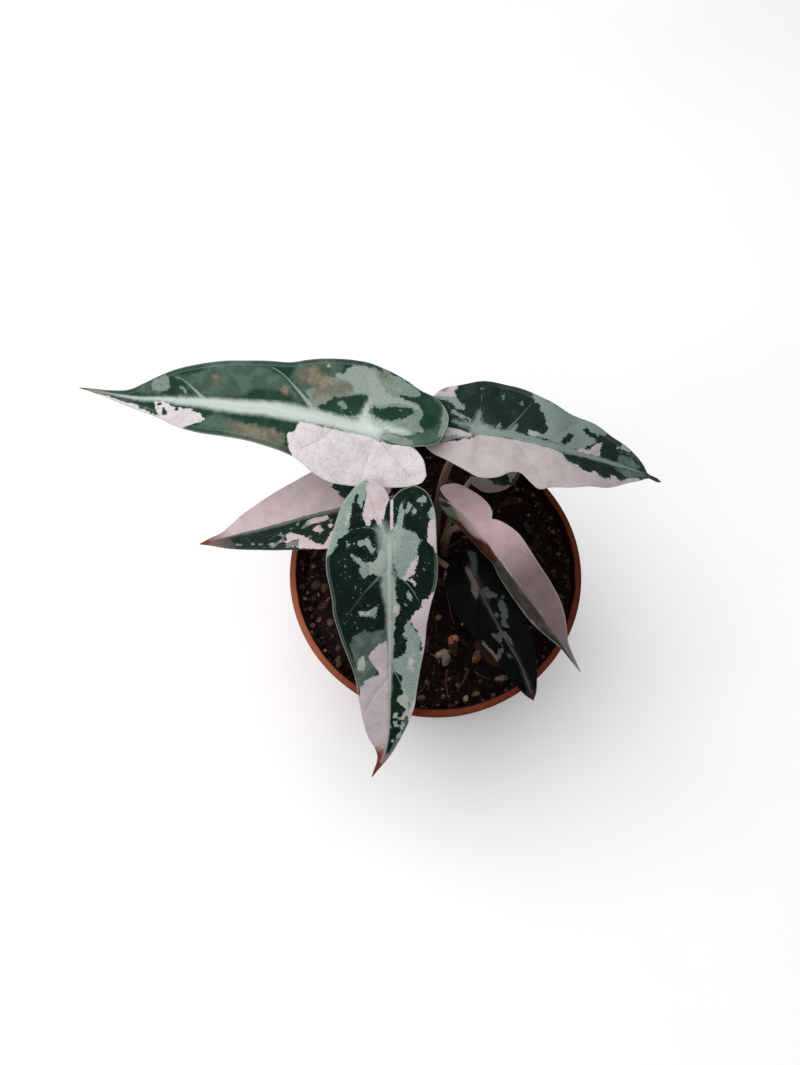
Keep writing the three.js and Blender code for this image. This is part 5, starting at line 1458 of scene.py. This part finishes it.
# Where the mix was filled in it also lies on the ledge inside the collar.
for k in range(LEDGE_CRUMBS):
    r, turn = random.uniform(LEDGE_START, LEDGE_END), random.uniform(0, 2 * math.pi)
    size = random.uniform(0.5, 1.15)
    crumb = lumpy(coarse_ball, random, 0.5) * random.uniform(0.6, 1.3, 3) * size
    crumb = turned(crumb, random.uniform(-1, 1), turn)
    level = LEDGE_LEVEL + 0.45 * max(0, r - LEDGE_START) + 0.3 * size
    crumb += [r * math.cos(turn), r * math.sin(turn), level]
    heap.add(crumb, coarse_faces, KIND["bark" if k % 6 == 0 else "crumb"], random.random())
print("with crumbs:", heap.count, "points")

# %% Twigs and root fibres
TWIGS = [[(4.6, -39.2), (4.1, -44.6), (4.8, -50.3)], [(13.6, -38.4), (11.5, -43.3), (8.5, -48.3)]]
ROOT_FIBRES = 52
FIBRES_START = 46
FIBRES_END = 52
FIBRE_STEPS = 8

for twig in TWIGS:
    line = Line(smooth_line([(x, y, float(soil_height(x, y)) + 0.7) for x, y in twig], 6, 0.5))
    points, faces, _ = tube(line.at(np.linspace(0, line.length, 12)), np.linspace(0.7, 0.4, 12), 7)
    heap.add(points, faces, KIND["fibre"], 0.3)
# A root fibre wanders over the crumbs with a low arch, and is left out where it would be too short.
for _ in range(ROOT_FIBRES):
    x, y = on_soil(FIBRES_START)
    heading = random.uniform(0, 2 * math.pi)
    length = random.uniform(4, 15)
    path = []
    for step in range(FIBRE_STEPS + 1):
        lift = 0.35 + 0.7 * math.sin(math.pi * step / FIBRE_STEPS) * random.uniform(0.2, 1.0)
        path.append((x, y, float(soil_height(x, y)) + crumbly(x, y) * 0.6 + lift))
        heading += random.uniform(-0.45, 0.45)
        x, y = x + math.cos(heading) * length / FIBRE_STEPS, y + math.sin(heading) * length / FIBRE_STEPS
        if math.hypot(x, y) > FIBRES_END:
            break
    if len(path) < 4:
        continue
    line = Line(smooth_line(path, 4, 0.5))
    marks = np.linspace(0, line.length, 14)
    thin = random.uniform(0.12, 0.32)
    radii = np.interp(marks, [0, line.length / 2, line.length], [thin * 0.5, thin, thin * 0.3])
    points, faces, _ = tube(line.at(marks), radii, 6)
    heap.add(points, faces, KIND["fibre"], random.random())
print("with fibres:", heap.count, "points")

# %% [markdown]
# Damp mix is dark with a dull sheen in places. Its left side, towards the lamp, is painted paler as painted
# light. Each kind of grain has a ramp of colours of its own, so that no two crumbs have quite the same brown.

# %% The soil's finish
def soil_finish():
    f = Finish("potting_mix")
    kind, luck, _ = f.stored("grain")
    where = f.node("TexCoord", out="Object")

    def from_luck(*stops):
        """A colour picked from a ramp by the grain's random number."""
        return f.node("ValToRGB", {"stops": stops}, {"Fac": luck})

    grit = f.clouds(where, 900, 4, 0.7)
    ground = f.paint((0.0022, 0.0014, 0.0012), (0.009, 0.005, 0.004), grit.ease(0.42, 0.7))
    ground = f.paint(ground, (0.035, 0.018, 0.014), f.clouds(where, 2400, 2).ease(0.62, 0.74) * 0.5)
    crumb = from_luck((0, (0.002, 0.0014, 0.0012)), (0.5, (0.006, 0.0036, 0.003)),
                      (0.85, (0.016, 0.009, 0.007)), (1, (0.055, 0.035, 0.028)))
    bark = from_luck((0, (0.008, 0.004, 0.003)), (0.55, (0.026, 0.012, 0.009)), (1, (0.1, 0.045, 0.03)))
    clay = from_luck((0, (0.19, 0.066, 0.036)), (1, (0.29, 0.135, 0.08)))
    pumice = from_luck((0, (0.07, 0.05, 0.038)), (1, (0.17, 0.13, 0.095)))
    fibre = from_luck((0, (0.02, 0.009, 0.007)), (0.6, (0.05, 0.022, 0.017)), (1, (0.15, 0.08, 0.06)))
    colour = ground
    for step, over in enumerate((crumb, bark, clay, pumice, fibre)):
        colour = f.paint(colour, over, kind.ease(step + 0.4, step + 0.6))
    colour = f.paint(colour, (0.005, 0.003, 0.0025), f.clouds(where, 1300, 3, 0.7).ease(0.5, 0.66) * 0.6)
    # Painted light: on the left side, towards the lamp, the ground, crumbs and bark are painted more than
    # twice as bright.
    lit_left = f.split(where)[0].ease(-0.018, -0.05) * kind.ease(2.6, 2.4)
    mottled = f.clouds(where, 620, 4, 0.75).ease(0.36, 0.66)
    colour = f.shade(colour, (2.1 + 2.7 * lit_left) * (0.45 + 0.75 * mottled))
    height = f.clouds(where, 1500, 4, 0.7) + 0.5 * f.cells(where, 1400, "F1")
    rough = 0.62 + 0.35 * grit
    gritty = f.bump(height, 0.0003)
    return f.surface(Base_Color=colour, Roughness=rough, Normal=gritty, Specular_IOR_Level=0.03)


grains = {"grain": np.vstack(heap.kinds)}
make_piece("potting_mix", np.vstack(heap.points), heap.faces, soil_finish(), "soil", grains)

# %% [markdown]
# ## Nursery pot
# The pot is injection-moulded plastic the colour of terracotta: a tapering wall, a stepped-out collar
# and eight drainage holes. It is a lathe form, so its section is drawn once, its corners are rounded and
# it is turned round the axis. The holes are cut with a Boolean modifier, whose result is kept.

# %% Turn the pot
# Corners as (radius, height, how far the corner is cut back).
POT_SECTION = [
    (0, 0, 0), (41.1, 0, 0.5), (42.5, 1.4, 0.5), (56.4, 94.5, 0.35), (58.8, 94.5, 0.7),
    (60, 104, 0.4), (59.4, 105, 0.4), (57.6, 105, 0.4), (57.2, 104.5, 0.3), (57, 96, 0.6),
    (54.9, 95, 0.6), (41, 2.2, 0.8), (0, 2.2, 0),
]
POT_SEGMENTS = 192


def rounded(section, steps=4):
    """The section with each corner cut back by its third number and bridged by a small arc."""
    corners = np.array([(r, z) for r, z, _ in section], float)
    path = [corners[0]]
    for k in range(1, len(corners) - 1):
        here, cut = corners[k], section[k][2]
        to_last, to_next = corners[k - 1] - here, corners[k + 1] - here
        start = here + to_last / np.linalg.norm(to_last) * cut
        end = here + to_next / np.linalg.norm(to_next) * cut
        for t in np.linspace(0, 1, steps):
            path.append((1 - t) ** 2 * start + 2 * t * (1 - t) * here + t * t * end)
    return np.array([*path, corners[-1]])


def lathe(section, segments):
    turns = 2 * np.pi * np.arange(segments) / segments
    ring = section[1:-1]
    points = [(0, 0, section[0][1])]
    points += [(r * math.cos(t), r * math.sin(t), z) for r, z in ring for t in turns]
    points.append((0, 0, section[-1][1]))
    faces = []
    last = 1 + (len(ring) - 1) * segments
    for s in range(segments):
        after = (s + 1) % segments
        faces.append([0, 1 + after, 1 + s])
        for r in range(1, last, segments):
            faces.append([r + s, r + after, r + segments + after, r + segments + s])
        faces.append([last + s, last + after, len(points) - 1])
    return np.array(points), faces


# %% [markdown]
# Moulded plastic is an even colour with a faint flow pattern and fine turning rings. Its left side, towards
# the lamp, is painted paler as painted light and its right side darker as painted shade; dry scuffs are
# paler, and the wall's inside above the mix is painted nearly black as painted shade.

# %% The pot's finish
def pot_finish():
    f = Finish("terracotta_plastic")
    where = f.node("TexCoord", out="Object")
    x, y, z = f.split(where)
    radius = f.node("Math", {"operation": "SQRT"}, {0: x * x + y * y})
    flow = f.place(x, y, z * 0.12)
    colour = f.paint((0.108, 0.022, 0.011), (0.135, 0.03, 0.0155), f.clouds(flow, 60, 3).ease(0.35, 0.7))
    colour = f.paint(colour, (0.082, 0.015, 0.0075), f.clouds(where, 240, 3, 0.6).ease(0.52, 0.75) * 0.5)
    # Painted light: the left side, towards the lamp, is painted a paler orange. Painted shade: the right side
    # is darkened.
    colour = f.paint(colour, (0.36, 0.115, 0.06), x.ease(-0.02, -0.056) * 0.8)
    colour = f.shade(colour, 1.0 - 0.3 * x.ease(0.035, 0.056))
    scuffs = f.clouds(f.place(x, y, z * 5), 130, 4, 0.75).ease(0.62, 0.72)
    colour = f.paint(colour, (0.2, 0.075, 0.045), scuffs * 0.25)
    # Painted shade: the wall's inside, from the mix up to the rim, is painted nearly black.
    inside = radius.ease(0.0578, 0.0573) * z.ease(0.085, 0.094)
    collar_shade = (z + 0.006 * f.clouds(where, 160, 3)).ease(0.1088, 0.1068)
    colour = f.paint(colour, (0.006, 0.0032, 0.0025), inside * collar_shade * 0.95)
    dust = f.clouds(where, 700, 3, 0.7).ease(0.62, 0.7) * z.ease(0.09, 0.1)
    colour = f.paint(colour, (0.05, 0.025, 0.018), dust * 0.2)
    # Fine rings every 0.7 mm of height, from the turned mould.
    rings = f.node("Math", {"operation": "SINE"}, {0: z * 9000})
    height = f.clouds(where, 1400, 3, 0.6) + 0.12 * rings + 0.6 * f.clouds(flow, 220, 2)
    rough = 0.6 + 0.2 * f.clouds(where, 90, 3) + 0.1 * scuffs
    turned_skin = f.bump(height, 0.00006)
    return f.surface(Base_Color=colour, Roughness=rough, Normal=turned_skin, Specular_IOR_Level=0.02)


pot_points, pot_faces = lathe(rounded(POT_SECTION), POT_SEGMENTS)
pot = make_piece("nursery_pot", pot_points, pot_faces, pot_finish(), "pot")

# %% Cut the drainage holes
# In metres, as the scene is.
DRAINS = 8
DRAIN_RADIUS = 0.0036
DRAIN_CIRCLE = 0.031
DRILL_LENGTH = 0.008

work = bmesh.new()
for k in range(DRAINS):
    turn = 2 * math.pi * (k + 0.5) / DRAINS
    made = bmesh.ops.create_cone(work, cap_ends=True, segments=40, radius1=DRAIN_RADIUS,
                                 radius2=DRAIN_RADIUS, depth=DRILL_LENGTH)
    spot = (DRAIN_CIRCLE * math.cos(turn), DRAIN_CIRCLE * math.sin(turn), 0)
    bmesh.ops.translate(work, verts=made["verts"], vec=spot)
drill_mesh = bpy.data.meshes.new("drill")
work.to_mesh(drill_mesh)
work.free()
drill = bpy.data.objects.new("drill", drill_mesh)
bpy.context.scene.collection.objects.link(drill)
cut = pot.modifiers.new("holes", "BOOLEAN")
cut.operation, cut.solver, cut.object = "DIFFERENCE", "EXACT", drill
whole = pot.evaluated_get(bpy.context.evaluated_depsgraph_get())
drilled = bpy.data.meshes.new_from_object(whole)
pot.modifiers.clear()
pot.data = drilled
bpy.data.objects.remove(drill)
drilled.polygons.foreach_set("use_smooth", np.ones(len(drilled.polygons), bool))
drilled.set_sharp_from_angle(angle=math.radians(35))
print("pot with holes:", len(drilled.polygons), "faces")

# %% [markdown]
# ## Floor, light and camera
# The plant stands on a plain pale floor. The light in the photograph is soft and comes from above and a
# little from the left, as under a skylight, so one large lamp hangs there, and a dim sky keeps the
# shadows open. The camera looks down at 71 degrees from the front.

# %% The floor
def floor_finish():
    f = Finish("pale_floor")
    where = f.node("TexCoord", out="Object")
    colour = f.paint((0.93, 0.93, 0.93), (0.9, 0.9, 0.9), f.clouds(where, 6, 3).ease(0.35, 0.65))
    rough = 0.7 + 0.1 * f.clouds(where, 40, 2)
    return f.surface(Base_Color=colour, Roughness=rough, Specular_IOR_Level=0.1, Emission_Strength=0.08)


floor_mesh = bpy.data.meshes.new("floor")
floor_mesh.from_pydata([(-3, -3, 0), (3, -3, 0), (3, 3, 0), (-3, 3, 0)], [], [[0, 1, 2, 3]])
floor_mesh.materials.append(floor_finish())
floor = bpy.data.objects.new("floor", floor_mesh)
bpy.context.scene.collection.objects.link(floor)

# %% Light
lamp = bpy.data.lights.new("skylight", "AREA")
lamp.shape = "RECTANGLE"
lamp.size = 1.2
lamp.size_y = 1.2
lamp.energy = 14.0
lamp.color = (1, 0.985, 0.975)
holder = bpy.data.objects.new("skylight", lamp)
holder.location = (-0.28, 0.06, 1.05)
aim = Vector((0, 0.01, 0.15)) - holder.location
holder.rotation_euler = aim.to_track_quat("-Z", "Y").to_euler()
bpy.context.scene.collection.objects.link(holder)
print("skylight", lamp.energy, "W")

world = bpy.data.worlds.new("studio")
bpy.context.scene.world = world
world.use_nodes = True
world.node_tree.nodes["Background"].inputs["Color"].default_value = (0.93, 0.96, 1, 1)
world.node_tree.nodes["Background"].inputs["Strength"].default_value = 0.3
bpy.context.scene.view_settings.view_transform = "Standard"

# %% Camera
FOCAL_PIXELS = 1100
LONG_SIDE_PIXELS = 1065
SENSOR_WIDTH = 36
LOOKS_DOWN = 71
camera_data = bpy.data.cameras.new("camera")
camera_data.sensor_width = SENSOR_WIDTH
camera_data.lens = SENSOR_WIDTH * FOCAL_PIXELS / LONG_SIDE_PIXELS
camera = bpy.data.objects.new("camera", camera_data)
camera.location = (-0.0146, -0.13238, 0.5371)
camera.rotation_euler = (math.radians(90 - LOOKS_DOWN), 0, 0)
camera_data.clip_start = 0.01
bpy.context.scene.collection.objects.link(camera)
bpy.context.scene.camera = camera
print("lens", round(camera_data.lens, 2), "mm")
